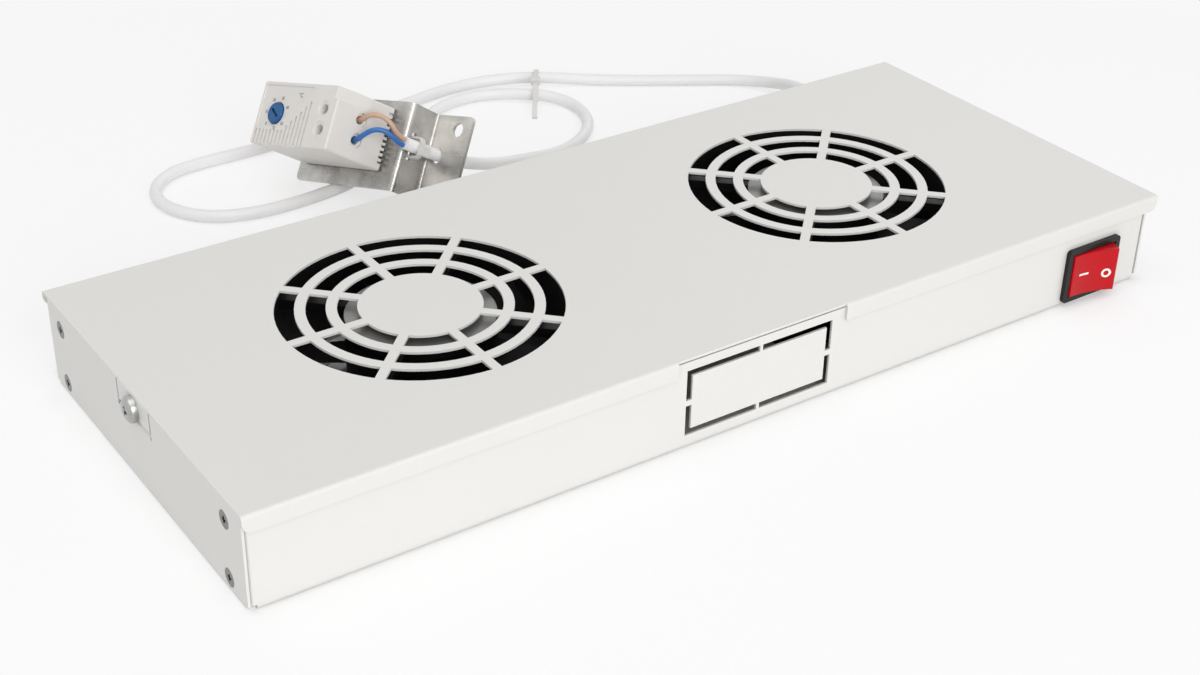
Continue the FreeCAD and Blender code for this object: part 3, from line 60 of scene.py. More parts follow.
# The distance from band to band in a wave texture of scale 1.
WAVE_PITCH = 0.314

# The thermostat's own place: X runs along its length and Z out of the face with the dial.
THERMOSTAT = Matrix.LocRotScale(
    (-0.05258, 0.20028, 0.00825),
    Euler((math.radians(55.3), math.radians(-14.6), math.radians(-77.2))),
    None,
)
# Its levels above its foot: the face, the sunk field round the dial, and the parts of the dial.
FACE = 0.033
FIELD = 0.0325
KNOB_FOOT = 0.0302
KNOB_RIM = 0.0327
STEM_FOOT = 0.024
DIAL_CENTRE = (0.0142, 0.0152)
SLOT_ANGLE = -35
SLOT_LENGTH = 0.0066
# The unit's place, and its height in heights of the numbers.
UNIT_PLACE = (0.0292, 0.0245, FIELD)
UNIT_HEIGHT = 1.4
# Each number's angle round the dial in degrees, its distance from the dial's centre and its level.
DIAL_NUMBERS = {
    "0": (222, 0.0080, FIELD),
    "10": (177, 0.0080, FIELD),
    "20": (125, 0.0076, FIELD),
    "30": (74, 0.0076, FIELD),
    "40": (23, 0.0078, FIELD),
    "50": (-36, 0.0084, FACE),
    "60": (-80, 0.00735, FACE),
}

# How far each mark's centre stands from the rocker's lower left corner, across and up; how far in
# front of the rocker a mark starts before it is laid on; and the thickness of its ink.
ON_MARK = (0.0065, 0.0106)
OFF_MARK = (0.0176, 0.0093)
MARK_START = 0.004
INK_FILM = 0.00012

# Screws: how far an end wall's upper ones stand above its lower ones, the heights of the heads, the
# radius of a fan screw's head, and how wide a recess is in radii of its head, plain or flush.
WALL_SCREW_RISE = 0.0243
FLUSH_HEAD = 0.001
SUNK_HEAD = 0.003
PAN_HEAD = 0.0034
FAN_HEAD_RADIUS = 0.0031
RECESS = 1.1
WIDE_RECESS = 1.15

# The floor lies a hair below the tray's underside. Round the tray it is this much backdrop white, which
# keeps its shadows soft, and it becomes all white between these distances from the tray's middle.
FLOOR_LEVEL = -0.0002
FLOOR_GLOW = 0.62
GLOW_START = 0.45
GLOW_END = 1.3
# Half the tray's footprint, under which the floor doesn't glow.
HALF_TRAY = (0.22, 0.096, 0)

# Routes of the cord, in the tray's frame, and of the two cores, in the thermostat's.
CORD_ROUTE = [
    (0.1950, 0.0998, 0.0200), (0.1954, 0.1145, 0.0194), (0.1998, 0.1310, 0.0155),
    (0.2065, 0.1475, 0.0095), (0.2075, 0.1645, 0.0046), (0.1970, 0.1795, 0.0030),
    (0.1770, 0.1915, 0.0030), (0.1540, 0.2050, 0.0030), (0.1310, 0.2200, 0.0030),
    (0.1120, 0.2330, 0.0042), (0.0960, 0.2425, 0.0042), (0.0760, 0.2505, 0.0030),
    (0.0540, 0.2505, 0.0030), (0.0300, 0.2450, 0.0030), (0.0000, 0.2415, 0.0030),
    (-0.0320, 0.2395, 0.0030), (-0.0620, 0.2360, 0.0030), (-0.0860, 0.2365, 0.0030),
    (-0.1080, 0.2340, 0.0030), (-0.1230, 0.2190, 0.0030), (-0.1240, 0.1990, 0.0030),
    (-0.1120, 0.1805, 0.0030), (-0.0900, 0.1725, 0.0030), (-0.0640, 0.1730, 0.0030),
    (-0.0400, 0.1770, 0.0030), (-0.0180, 0.1890, 0.0030), (0.0020, 0.2055, 0.0030),
    (0.0220, 0.2185, 0.0030), (0.0420, 0.2325, 0.0030), (0.0620, 0.2360, 0.0030),
    (0.0750, 0.2315, 0.0034), (0.0860, 0.2230, 0.0042), (0.0975, 0.2135, 0.0042),
    (0.1045, 0.2000, 0.0030), (0.1025, 0.1845, 0.0030), (0.0950, 0.1705, 0.0030),
    (0.0820, 0.1590, 0.0030), (0.0660, 0.1525, 0.0030), (0.0425, 0.1513, 0.0052),
    (0.0185, 0.1466, 0.0106), (-0.00749, 0.13844, 0.02280), (-0.03082, 0.13727, 0.03823),
]
BROWN_ROUTE = [
    (0.0717, 0.0156, 0.0014), (0.0717, 0.0166, 0.0068), (0.0712, 0.0206, 0.0112),
    (0.0678, 0.0226, 0.0150), (0.0629, 0.0219, 0.0178), (0.0582, 0.0191, 0.0172),
    (0.0525, 0.0190, 0.0171),
]
BLUE_ROUTE = [
    (0.0717, 0.0128, 0.0014), (0.0717, 0.0139, 0.0066), (0.0702, 0.0164, 0.0114),
    (0.0668, 0.0158, 0.0158), (0.0626, 0.0126, 0.0176), (0.0582, 0.00935, 0.0171),
    (0.0525, 0.0093, 0.0171),
]


def linear(code):
    """A colour written as sRGB hex, as the linear numbers that a shader works with."""
    channels = [int(code[start:start + 2], 16) / 255 for start in (1, 3, 5)]
    return [c / 12.92 if c <= 0.04045 else ((c + 0.055) / 1.055) ** 2.4 for c in channels] + [1.0]


def colour_setting(name, code):
    """A colour that a user may change, with its default as sRGB hex."""
    return bpy.props.FloatVectorProperty(
        name=name,
        description=f"Colour of the {name[0].lower()}{name[1:]}",
        subtype="COLOR",
        size=4,
        min=0,
        max=1,
        default=linear(code),
    )


def size_setting(name, millimetres):
    """A size that a user may change, with its default in millimetres."""
    return bpy.props.FloatProperty(
        name=name,
        description=f"{name}, in the scene's unit of length",
        subtype="DISTANCE",
        unit="LENGTH",
        min=0,
        default=millimetres * MM,
    )


class FanTrayColours(bpy.types.PropertyGroup):
    """Colours of the tray's finishes."""

    coat: colour_setting("Powder coat", "#E1E0DD")
    zinc: colour_setting("Zinc plating", "#B4B5B3")
    dull_zinc: colour_setting("Dull zinc plating", "#777876")
    black: colour_setting("Black plastic", "#1B1D1C")
    rocker: colour_setting("Rocker", "#BE0C18")
    mark: colour_setting("White marks", "#F4F2EE")
    thermostat: colour_setting("Thermostat housing", "#E1DEDA")
    dial: colour_setting("Dial", "#15568D")
    scale: colour_setting("Scale of the dial", "#8F7C70")
    sheet: colour_setting("Bracket's zinc plating", "#BCBAB6")
    cord: colour_setting("Cord sheath", "#F0EFEF")
    brown: colour_setting("Live core", "#C9A58D")
    blue: colour_setting("Neutral core", "#2A6AB2")


class FanTraySizes(bpy.types.PropertyGroup):
    """Sizes of the pieces that the solids leave plain."""

    cord: size_setting("Cord diameter", 6.0)
    core: size_setting("Core diameter", 2.4)
    dash: size_setting("Length of the on mark", 5.0)
    ring: size_setting("Diameter of the off mark", 4.3)
    stroke: size_setting("Stroke of the marks", 0.95)
    digit: size_setting("Height of the dial's numbers", 1.5)
    dial: size_setting("Diameter of the dial", 10.3)
    grain: size_setting("Grain of the powder coat", 1.1)
    # How far the shade painted into the coat's inner corners reaches.
    corner: size_setting("Reach of the dust in the coat's inner corners", 3.0)


def colours():
    """The colours as the user has them."""
    return bpy.context.scene.fan_tray_colours


def sizes():
    """The sizes as the user has them."""
    return bpy.context.scene.fan_tray_sizes


# --- materials ----------------------------------------------------------------------------------


def add_node(tree, kind, inputs=None, **settings):
    """Adds a shader node with its settings; an input is given as a value or as another node's output."""
    node = tree.nodes.new(kind)
    for name, value in settings.items():
        setattr(node, name, value)
    for name, value in (inputs or {}).items():
        if isinstance(value, bpy.types.NodeSocket):
            tree.links.new(value, node.inputs[name])
        else:
            node.inputs[name].default_value = value
    return node


def new_material(name, turn=(0, 0, 0), **surface):
    """A material with one principled shader.

    It gives the material, its node tree, the shader and the piece's own coordinates.
    """
    material = bpy.data.materials.new(name)
    material.use_nodes = True
    tree = material.node_tree
    tree.nodes.clear()
    shader = add_node(tree, "ShaderNodeBsdfPrincipled", {
        key.replace("_", " ").title().replace("Ior", "IOR"): value for key, value in surface.items()
    })
    add_node(tree, "ShaderNodeOutputMaterial", {"Surface": shader.outputs[0]})
    here = add_node(tree, "ShaderNodeTexCoord")
    place = add_node(tree, "ShaderNodeMapping", {"Vector": here.outputs["Object"], "Rotation": turn})
    material.diffuse_color = surface.get("base_color", (0.8, 0.8, 0.8, 1))
    return material, tree, shader, place.outputs[0]


def shades(tree, shader, pattern, colour, darker, lighter):
    """The colour, varied by a pattern between two brightnesses."""
    level = add_node(tree, "ShaderNodeMapRange", {"Value": pattern, "To Min": darker, "To Max": lighter})
    mixed = add_node(tree, "ShaderNodeVectorMath", {0: colour[:3], "Scale": level.outputs[0]},
                     operation="SCALE")
    tree.links.new(mixed.outputs[0], shader.inputs["Base Color"])


def gloss_and_relief(tree, shader, pattern, low, high, depth, relief=None):
    """Roughness between two values and relief of a depth in metres, both after a pattern.

    The relief may have a pattern of its own.
    """
    level = add_node(tree, "ShaderNodeMapRange", {"Value": pattern, "To Min": low, "To Max": high})
    tree.links.new(level.outputs[0], shader.inputs["Roughness"])
    height = pattern if relief is None else relief
    bump = add_node(tree, "ShaderNodeBump", {"Height": height, "Distance": depth, "Strength": 1.0})
    tree.links.new(bump.outputs[0], shader.inputs["Normal"])


def powder_coat():
    """Polyester powder coat baked on sheet steel: semi-matt, with a fine sandy grain.

    The grain of such a coat is about 0.5 mm; it is drawn twice as coarse so that it shows. Shade is
    painted into inner corners by ambient occlusion, so the seams under the lid's flanges read as faint
    lines.
    """
    colour = colours().coat
    material, tree, shader, place = new_material(
        "polyester_powder_coat", base_color=colour, roughness=0.46, ior=1.5)
    fineness = 1 / sizes().grain
    grain = add_node(tree, "ShaderNodeTexNoise", {"Vector": place, "Scale": fineness, "Detail": 3.0})
    cloud = add_node(tree, "ShaderNodeTexNoise", {"Vector": place, "Scale": 14.0, "Detail": 2.0})
    mottle = add_node(tree, "ShaderNodeMath", {0: grain.outputs[0], 1: cloud.outputs[0]},
                      operation="ADD")
    tone = add_node(tree, "ShaderNodeMapRange", {
        "Value": mottle.outputs[0], "From Max": 2.0, "To Min": 0.965, "To Max": 1.035,
    })
    # Painted shade: ambient occlusion darkens the coat's colour by up to 14% in inner corners and seams.
    corner = add_node(tree, "ShaderNodeAmbientOcclusion", {"Distance": sizes().corner}, samples=8)
    painted_shade = add_node(tree, "ShaderNodeMapRange", {
        "Value": corner.outputs["AO"], "From Min": 0.7, "From Max": 1.0, "To Min": 0.86, "To Max": 1.0,
    })
    both = add_node(tree, "ShaderNodeMath", {0: tone.outputs[0], 1: painted_shade.outputs[0]},
                    operation="MULTIPLY")
    shades(tree, shader, both.outputs[0], colour, 0.0, 1.0)
    gloss_and_relief(tree, shader, grain.outputs[0], 0.38, 0.55, 0.00005)
    return material


def zinc_plating(name, colour):
    """Zinc plating on steel screws and nuts: even metal with faint streaks from the barrel.

    The streaks are a tenth of a millimetre wide; they are drawn ten times as coarse so that they show.
    """
    material, tree, shader, place = new_material(name, base_color=colour, metallic=1.0, roughness=0.3)
    streak = add_node(tree, "ShaderNodeTexNoise", {"Vector": place, "Scale": 900.0, "Detail": 4.0})
    shades(tree, shader, streak.outputs[0], colour, 0.75, 1.1)
    gloss_and_relief(tree, shader, streak.outputs[0], 0.2, 0.42, 0.00002)
    return material


def galvanised_sheet():
    """Zinc-plated sheet bracket: soft cloudy sheen, rolled grain along it and a few dull spots.

    The clouds are about 17 mm across. The rolled grain is 0.7 mm wide, coarser than the sheet's own, and
    runs along the thermostat, to which the pattern is turned.
    """
    turn = THERMOSTAT.to_3x3().inverted().to_euler()
    material, tree, shader, place = new_material(
        "zinc_plated_sheet", turn=turn, base_color=colours().sheet, metallic=0.75, roughness=0.36)
    cloud = add_node(tree, "ShaderNodeTexNoise", {
        "Vector": place, "Scale": 60.0, "Detail": 5.0, "Roughness": 0.6,
    })
    stretch = add_node(tree, "ShaderNodeMapping", {"Vector": place, "Scale": (60.0, 1400.0, 1400.0)})
    rolled = add_node(tree, "ShaderNodeTexNoise", {
        "Vector": stretch.outputs[0], "Scale": 1.0, "Detail": 2.0,
    })
    both = add_node(tree, "ShaderNodeMath", {0: cloud.outputs[0], 1: rolled.outputs[0]},
                    operation="MULTIPLY")
    tone = add_node(tree, "ShaderNodeMapRange", {
        "Value": cloud.outputs[0], "From Min": 0.3, "From Max": 0.7,
    })
    shades(tree, shader, tone.outputs[0], colours().sheet, 0.62, 1.2)
    gloss_and_relief(tree, shader, both.outputs[0], 0.2, 0.6, 0.00002, relief=rolled.outputs[0])
    return material


def moulded(name, colour, roughness=0.42, grain=0.00004, size=0.0009, **more):
    """An injection-moulded plastic: even colour and the fine spark-eroded grain of its mould.

    The grain is the relief's depth, and the size is the distance from peak to peak, in metres: a mould's
    own grain, about 0.1 mm, would not show. The colour drifts by 4% over 22 mm, as the plastic flowed.
    """
    material, tree, shader, place = new_material(
        name, base_color=colour, roughness=roughness, ior=1.5, **more)
    skin = add_node(tree, "ShaderNodeTexNoise", {"Vector": place, "Scale": 1 / size, "Detail": 2.0})
    flow = add_node(tree, "ShaderNodeTexNoise", {"Vector": place, "Scale": 45.0, "Detail": 1.0})
    shades(tree, shader, flow.outputs[0], colour, 0.96, 1.04)
    gloss_and_relief(tree, shader, skin.outputs[0], roughness - 0.07, roughness + 0.07, grain)
    return material


def enamelled_casting():
    """Black enamel on a die-cast fan frame: satin, with the soft ripple of a dipped coat."""
    return moulded("black_enamelled_casting", linear("#0A0A0A"), 0.48, 0.00008, 0.0022,
                   specular_ior_level=0.25)


def bare_metal(name, colour, roughness, size):
    """A cut or drawn metal: the tool's fine marks, drawn about a millimetre wide, as uneven gloss."""
    material, tree, shader, place = new_material(
        name, base_color=colour, metallic=1.0, roughness=roughness)
    marks = add_node(tree, "ShaderNodeTexNoise", {"Vector": place, "Scale": 1 / size, "Detail": 3.0})
    shades(tree, shader, marks.outputs[0], colour, 0.82, 1.08)
    gloss_and_relief(tree, shader, marks.outputs[0], roughness * 0.7, roughness * 1.3, 0.00002)
    return material


def satin_foil():
    """Plain aluminium foil label on the fan's hub: satin, with rolling lines 0.4 mm apart."""
    colour = linear("#8E8E8C")
    material, tree, shader, place = new_material(
        "satin_aluminium_foil", base_color=colour, metallic=0.6, roughness=0.5)
    stretch = add_node(tree, "ShaderNodeMapping", {"Vector": place, "Scale": (120.0, 2600.0, 2600.0)})
    rolled = add_node(tree, "ShaderNodeTexNoise", {
        "Vector": stretch.outputs[0], "Scale": 1.0, "Detail": 2.0,
    })
    shades(tree, shader, rolled.outputs[0], colour, 0.8, 1.12)
    gloss_and_relief(tree, shader, rolled.outputs[0], 0.3, 0.5, 0.00001)
    return material


def layered(name, colour, pitch, metallic, roughness):
    """Stacked sheets or turns of wire, a pitch apart up the piece, with a dark line between them."""
    material, tree, shader, place = new_material(
        name, base_color=colour, metallic=metallic, roughness=roughness)
    lines = add_node(tree, "ShaderNodeTexWave", {
        "Vector": place, "Scale": WAVE_PITCH / pitch, "Distortion": 0.4,
    }, bands_direction="Z")
    shades(tree, shader, lines.outputs["Fac"], colour, 0.55, 1.1)
    gloss_and_relief(tree, shader, lines.outputs["Fac"], roughness * 1.3, roughness * 0.8, pitch * 0.3)
    return material


def striped_sheath(name, ground, stripe, pitch):
    """Two-colour PVC of an earth wire: a stripe of the second colour that winds round the first.

    The bands lie across a diagonal, at which a wave texture is half as dense.
    """
    material, tree, shader, place = new_material(name, base_color=ground, roughness=0.36, ior=1.53)
    wind = add_node(tree, "ShaderNodeTexWave", {"Vector": place, "Scale": WAVE_PITCH / pitch},
                    bands_direction="DIAGONAL")
    edge = add_node(tree, "ShaderNodeMapRange", {
        "Value": wind.outputs["Fac"], "From Min": 0.45, "From Max": 0.55,
    })
    mixed = add_node(tree, "ShaderNodeMix", {0: edge.outputs[0], 6: ground, 7: stripe}, data_type="RGBA")
    tree.links.new(mixed.outputs[2], shader.inputs["Base Color"])
    skin = add_node(tree, "ShaderNodeTexNoise", {"Vector": place, "Scale": 1500.0, "Detail": 1.0})
    gloss_and_relief(tree, shader, skin.outputs[0], 0.3, 0.44, 0.00002)
    return material


def cord_sheath(name, colour, roughness):
    """Extruded PVC: a soft shine, faint pull marks and slight unevenness along its length.

    The marks are drawn 0.7 mm apart, coarser than a die leaves them, and the colour drifts over 26 mm.
    """
    material, tree, shader, place = new_material(
        name, base_color=colour, roughness=roughness, ior=1.53,
        subsurface_weight=0.15, subsurface_radius=(0.001, 0.0009, 0.0008))
    wave = add_node(tree, "ShaderNodeTexNoise", {"Vector": place, "Scale": 38.0, "Detail": 3.0})
    skin = add_node(tree, "ShaderNodeTexNoise", {"Vector": place, "Scale": 1500.0, "Detail": 1.0})
    shades(tree, shader, wave.outputs[0], colour, 0.96, 1.04)
    gloss_and_relief(tree, shader, skin.outputs[0], roughness - 0.06, roughness + 0.08, 0.00002)
    return material


# --- pieces -------------------------------------------------------------------------------------


def dress(material, *nodes):
    """Gives CAD nodes their finish."""
    for name in nodes:
        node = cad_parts[name]
        if not node.material_slots:
            node.data.materials.append(material)
        for place in node.material_slots:
            place.material = material


def select_only(*pieces):
    """Selects these pieces and nothing else, in object mode, with the first as the active one."""
    if bpy.context.object and bpy.context.object.mode != "OBJECT":
        bpy.ops.object.mode_set(mode="OBJECT")
    bpy.ops.object.select_all(action="DESELECT")
    for piece in pieces:
        piece.select_set(True)
    if pieces:
        bpy.context.view_layer.objects.active = pieces[0]


def start(name, primitive, **settings):
    """A primitive at its size and place, as the start of a piece."""
    select_only()
    primitive(**settings)
    piece = bpy.context.object
    piece.name = name
    piece.data.name = name
    return piece


def edit(piece):
    """Opens one piece in edit mode."""
    select_only(piece)
    bpy.ops.object.mode_set(mode="EDIT")


def pick(piece, side):
    """Selects, in edit mode, the faces that look along Z (side 1) or against it (side -1)."""
    mesh = bmesh.from_edit_mesh(piece.data)
    for part in [*mesh.verts, *mesh.edges, *mesh.faces]:
        part.select = False
    for face in mesh.faces:
        if face.normal.z * side > 0.9:
            face.select_set(True)
    mesh.select_flush_mode()
    bmesh.update_edit_mesh(piece.data)


def draw_out(rings, level, wide):
    """Extrudes the selected faces along Z through rings, each a height and a radius.

    It starts from a level and a radius, and gives the last ring's height.
    """
    for height, radius in rings:
        bpy.ops.mesh.extrude_region_move(TRANSFORM_OT_translate={"value": (0, 0, height - level)})
        bpy.ops.transform.resize(value=(radius / wide, radius / wide, 1))
        level, wide = height, radius
    return level


def put(piece, place=Matrix.Identity(4)):
    """Moves a finished mesh to its place, with the object left at the origin."""
    piece.data.transform(place @ piece.matrix_world)
    piece.matrix_world = Matrix.Identity(4)
    bpy.context.view_layer.update()


def apply_all(piece):
    """Applies every modifier in order."""
    select_only(piece)
    for modifier in list(piece.modifiers):
        bpy.ops.object.modifier_apply(modifier=modifier.name)


def smooth(piece, angle=30):
    """Rounds the shading of a piece between faces that meet at less than the angle."""
    select_only(piece)
    bpy.ops.object.shade_smooth_by_angle(angle=math.radians(angle))


def cut_out(piece, tool, crossed=False):
    """Takes a tool's shape, which may cross itself, out of a piece, and the tool out of the scene."""
    cut = piece.modifiers.new(tool.name, "BOOLEAN")
    cut.object = tool
    cut.solver = "EXACT"
    cut.use_self = crossed
    apply_all(piece)
    bpy.data.objects.remove(tool)
    smooth(piece)


def join(pieces, name):
    """One mesh from several."""
    select_only(*pieces)
    bpy.ops.object.join()
    whole = bpy.context.object
    whole.name = name
    whole.data.name = name
    return whole


def copies(piece, places):
    """One mesh for a set of like pieces: the piece copied to each place, joined as one."""
    made = []
    for place in places:
        twin = piece.copy()
        twin.data = piece.data.copy()
        bpy.context.scene.collection.objects.link(twin)
        twin.data.transform(place)
        made.append(twin)
    name = piece.name
    bpy.data.objects.remove(piece)
    return join(made, name)


def cross_screw(name, shank, length, head, recess):
    """A cross-recess screw along Z, with its shank below the origin and its head's rings above it.

    Each ring of the head is a height and a radius. The recess is as wide as it says.
    """
    screw = start(name, bpy.ops.mesh.primitive_cylinder_add, vertices=32, radius=shank, depth=length,
                  location=(0, 0, -length / 2))
    put(screw)
    edit(screw)
    pick(screw, 1)
    top = draw_out(head, 0.0, shank)
    bpy.ops.object.mode_set(mode="OBJECT")

    # Two crossed wedges, half of them above the head, which narrow towards the bottom.
    depth, arm, narrow = recess * 0.6, 0.3, (0.45, 0.7, 1)
    cross = start("recess", bpy.ops.mesh.primitive_cube_add, size=recess, location=(0, 0, top))
    put(cross)
    edit(cross)
    bpy.ops.mesh.select_all(action="SELECT")
    bpy.ops.transform.resize(value=(1, arm, depth * 2 / recess))
    pick(cross, -1)
    bpy.ops.transform.resize(value=narrow)
    bpy.ops.mesh.select_all(action="SELECT")
    bpy.ops.mesh.duplicate()
    bpy.ops.transform.rotate(value=math.pi / 2, orient_axis="Z", center_override=(0, 0, 0))
    bpy.ops.object.mode_set(mode="OBJECT")
    cut_out(screw, cross, crossed=True)
    return screw


def facing(direction, place):
    """Turns a piece's Z axis to a direction and moves it to a place."""
    turn = Vector(direction).to_track_quat("Z", "Y").to_matrix().to_4x4()
    return Matrix.Translation(place) @ turn


def softened_copy(name, node, width):
    """A copy of a CAD node's shape, with its sharp edges rounded by a width."""
    piece = bpy.data.objects.new(name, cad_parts[node].data.copy())
    piece.data.name = name
    bpy.context.scene.collection.objects.link(piece)
    edit(piece)
    bpy.ops.mesh.select_all(action="SELECT")
    bpy.ops.mesh.remove_doubles(threshold=0.000001)
    bpy.ops.mesh.dissolve_limited(angle_limit=math.radians(0.5))
    bpy.ops.object.mode_set(mode="OBJECT")
    bevel = piece.modifiers.new("edges", "BEVEL")
    bevel.width = width
    bevel.segments = 3
    bevel.limit_method = "ANGLE"
    bevel.angle_limit = math.radians(35)
    apply_all(piece)
    smooth(piece)
    return piece


def printed_on(mark, piece, lay):
    """Lays a flat mark on a piece's face, as a film of ink that follows it."""
    put(mark, lay)
    wrap = mark.modifiers.new("wrap", "SHRINKWRAP")
    wrap.target = piece
    wrap.wrap_method = "PROJECT"
    wrap.use_project_y = True
    wrap.use_positive_direction = True
    wrap.offset = INK_FILM / 4
    ink = mark.modifiers.new("ink", "SOLIDIFY")
    ink.thickness = INK_FILM
    ink.offset = 0
    apply_all(mark)


def finish_piece(piece, material, body, slot, *replaced):
    """Gives a new piece its material and body and hides the CAD nodes that it stands for; the slot is
    not used.
    """
    piece.data.materials.clear()
    piece.data.materials.append(material)
    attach(piece, body)
    if replaced:
        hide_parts(*replaced)
    return piece


def nurbs(name, route, diameter):
    """A cord: a smooth NURBS line through open air with a round section."""
    curve = bpy.data.curves.new(name, "CURVE")
    curve.dimensions = "3D"
    spline = curve.splines.new("NURBS")
    spline.points.add(len(route) - 1)
    for point, place in zip(spline.points, route):
        point.co = (*place, 1)
    spline.order_u = 3
    spline.use_endpoint_u = True
    spline.resolution_u = 10
    curve.bevel_depth = diameter / 2
    curve.bevel_resolution = 6
    curve.use_fill_caps = True
    piece = bpy.data.objects.new(name, curve)
    bpy.context.scene.collection.objects.link(piece)
    return piece


# --- operators ----------------------------------------------------------------------------------


class FANTRAY_OT_sheet_metal(bpy.types.Operator):
    """Finish the tray and its lid"""

    bl_idname = "fan_tray.sheet_metal"
    bl_label = "Sheet metal"

    def execute(self, context):
        dress(powder_coat(), "base_tray", "lid")
        return {"FINISHED"}


class FANTRAY_OT_fasteners(bpy.types.Operator):
    """Finish the nuts and model the cross-recess screws"""

    bl_idname = "fan_tray.fasteners"
    bl_label = "Screws and nuts"

    def execute(self, context):
        bright = zinc_plating("bright_zinc_plating", colours().zinc)
        dull = zinc_plating("dull_zinc_plating", colours().dull_zinc)
        dress(bright, "lid_clinch_nuts", "wall_nuts", "inlet_nuts", "earth_nut",
              "fan_left_nuts", "fan_right_nuts")
        self.wall_screws(dull)
        self.lid_screws(bright)
        self.inlet_screws(bright)
        for node in ("fan_left_screws", "fan_right_screws"):
            self.fan_screws(bright, node)
        return {"FINISHED"}

    def wall_screws(self, material):
        """Four screws in each end wall, countersunk flush with it."""
        low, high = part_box("wall_screws")
        radius = (high.z - low.z - WALL_SCREW_RISE) / 2
        screw = cross_screw(
            "wall_screws_cross", shank=0.00195, length=0.0055, recess=radius * WIDE_RECESS,
            head=[(0.00095, radius - 0.0001), (FLUSH_HEAD, radius - 0.00015)])
        places = [
            facing((side, 0, 0), (x - FLUSH_HEAD * side, y, z))
            for side, x in ((-1, low.x), (1, high.x))
            for y in (low.y + radius, high.y - radius)
            for z in (low.z + radius, high.z - radius)
        ]
        finish_piece(copies(screw, places), material, "tray", "zinc_screw", "wall_screws")

    def lid_screws(self, material):
        """A pan head in the middle of each end of the lid."""
        low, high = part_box("lid_screws")
        radius = (high.z - low.z) / 2
        # Heights in millimetres and shares of the head's radius.
        dome = ((1.4, 1.0), (2.0, 0.98), (2.5, 0.93), (2.9, 0.85), (3.2, 0.74), (3.4, 0.6))
        screw = cross_screw(
            "lid_screws_cross", shank=0.0024, length=0.0068, recess=radius * RECESS,
            head=[(0.0, radius), *((height * MM, radius * share) for height, share in dome)])
        places = [
            facing((side, 0, 0), (x - PAN_HEAD * side, (low.y + high.y) / 2, (low.z + high.z) / 2))
            for side, x in ((-1, low.x), (1, high.x))
        ]
        finish_piece(copies(screw, places), material, "tray", "zinc_screw", "lid_screws")

    def inlet_screws(self, material):
        """The two countersunk screws that hold the mains inlet."""
        low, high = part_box("inlet_screws")
        radius = (high.z - low.z) / 2
        screw = cross_screw(
            "inlet_screws_cross", shank=0.00145, length=0.0058, recess=radius * RECESS,
            head=[(0.0028, radius), (SUNK_HEAD, radius - 0.0001)])
        places = [
            facing((0, 1, 0), (x, high.y - SUNK_HEAD, (low.z + high.z) / 2))
            for x in (low.x + radius, high.x - radius)
        ]
        finish_piece(copies(screw, places), material, "tray", "zinc_screw", "inlet_screws")

    def fan_screws(self, material, node):
        """The four screws that hold a fan, countersunk flush with the tray's underside."""
        low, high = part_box(node)
        radius = FAN_HEAD_RADIUS
        screw = cross_screw(
            f"{node}_cross", shank=0.00195, length=0.0084, recess=radius * WIDE_RECESS,
            head=[(0.00095, radius), (FLUSH_HEAD, radius - 0.0001)])
        places = [
            facing((0, 0, -1), (x, y, low.z + FLUSH_HEAD))
            for x in (low.x + radius, high.x - radius)
            for y in (low.y + radius, high.y - radius)
        ]
        finish_piece(copies(screw, places), material, "tray", "zinc_screw", node)


class FANTRAY_OT_fans(bpy.types.Operator):
    """Finish both fans, from the casting to the windings"""

    bl_idname = "fan_tray.fans"
    bl_label = "Fans"

    def execute(self, context):
        finishes = {
            "frame": enamelled_casting(),
            # Glass fibres at the surface leave the blades a little duller than plain polyamide.
            "impeller": moulded("glass_filled_polyamide", linear("#0A0A0A"), 0.5,
                                specular_ior_level=0.25),
            "label": satin_foil(),
            "rotor_cup": bare_metal("blackened_steel_cup", linear("#57585A"), 0.42, 0.0015),
            "shaft": bare_metal("ground_steel_shaft", linear("#B9BABB"), 0.22, 0.0008),
            "bearings": bare_metal("bearing_steel", linear("#A8A9AA"), 0.25, 0.0008),
            "stator": layered("motor_laminations", linear("#6A6B6E"), 0.0005, 1.0, 0.45),
            "windings": layered("enamelled_copper_wire", linear("#B4602A"), 0.0006, 0.8, 0.35),
        }
        for side in ("left", "right"):
            for part, material in finishes.items():
                dress(material, f"fan_{side}_{part}")
        return {"FINISHED"}


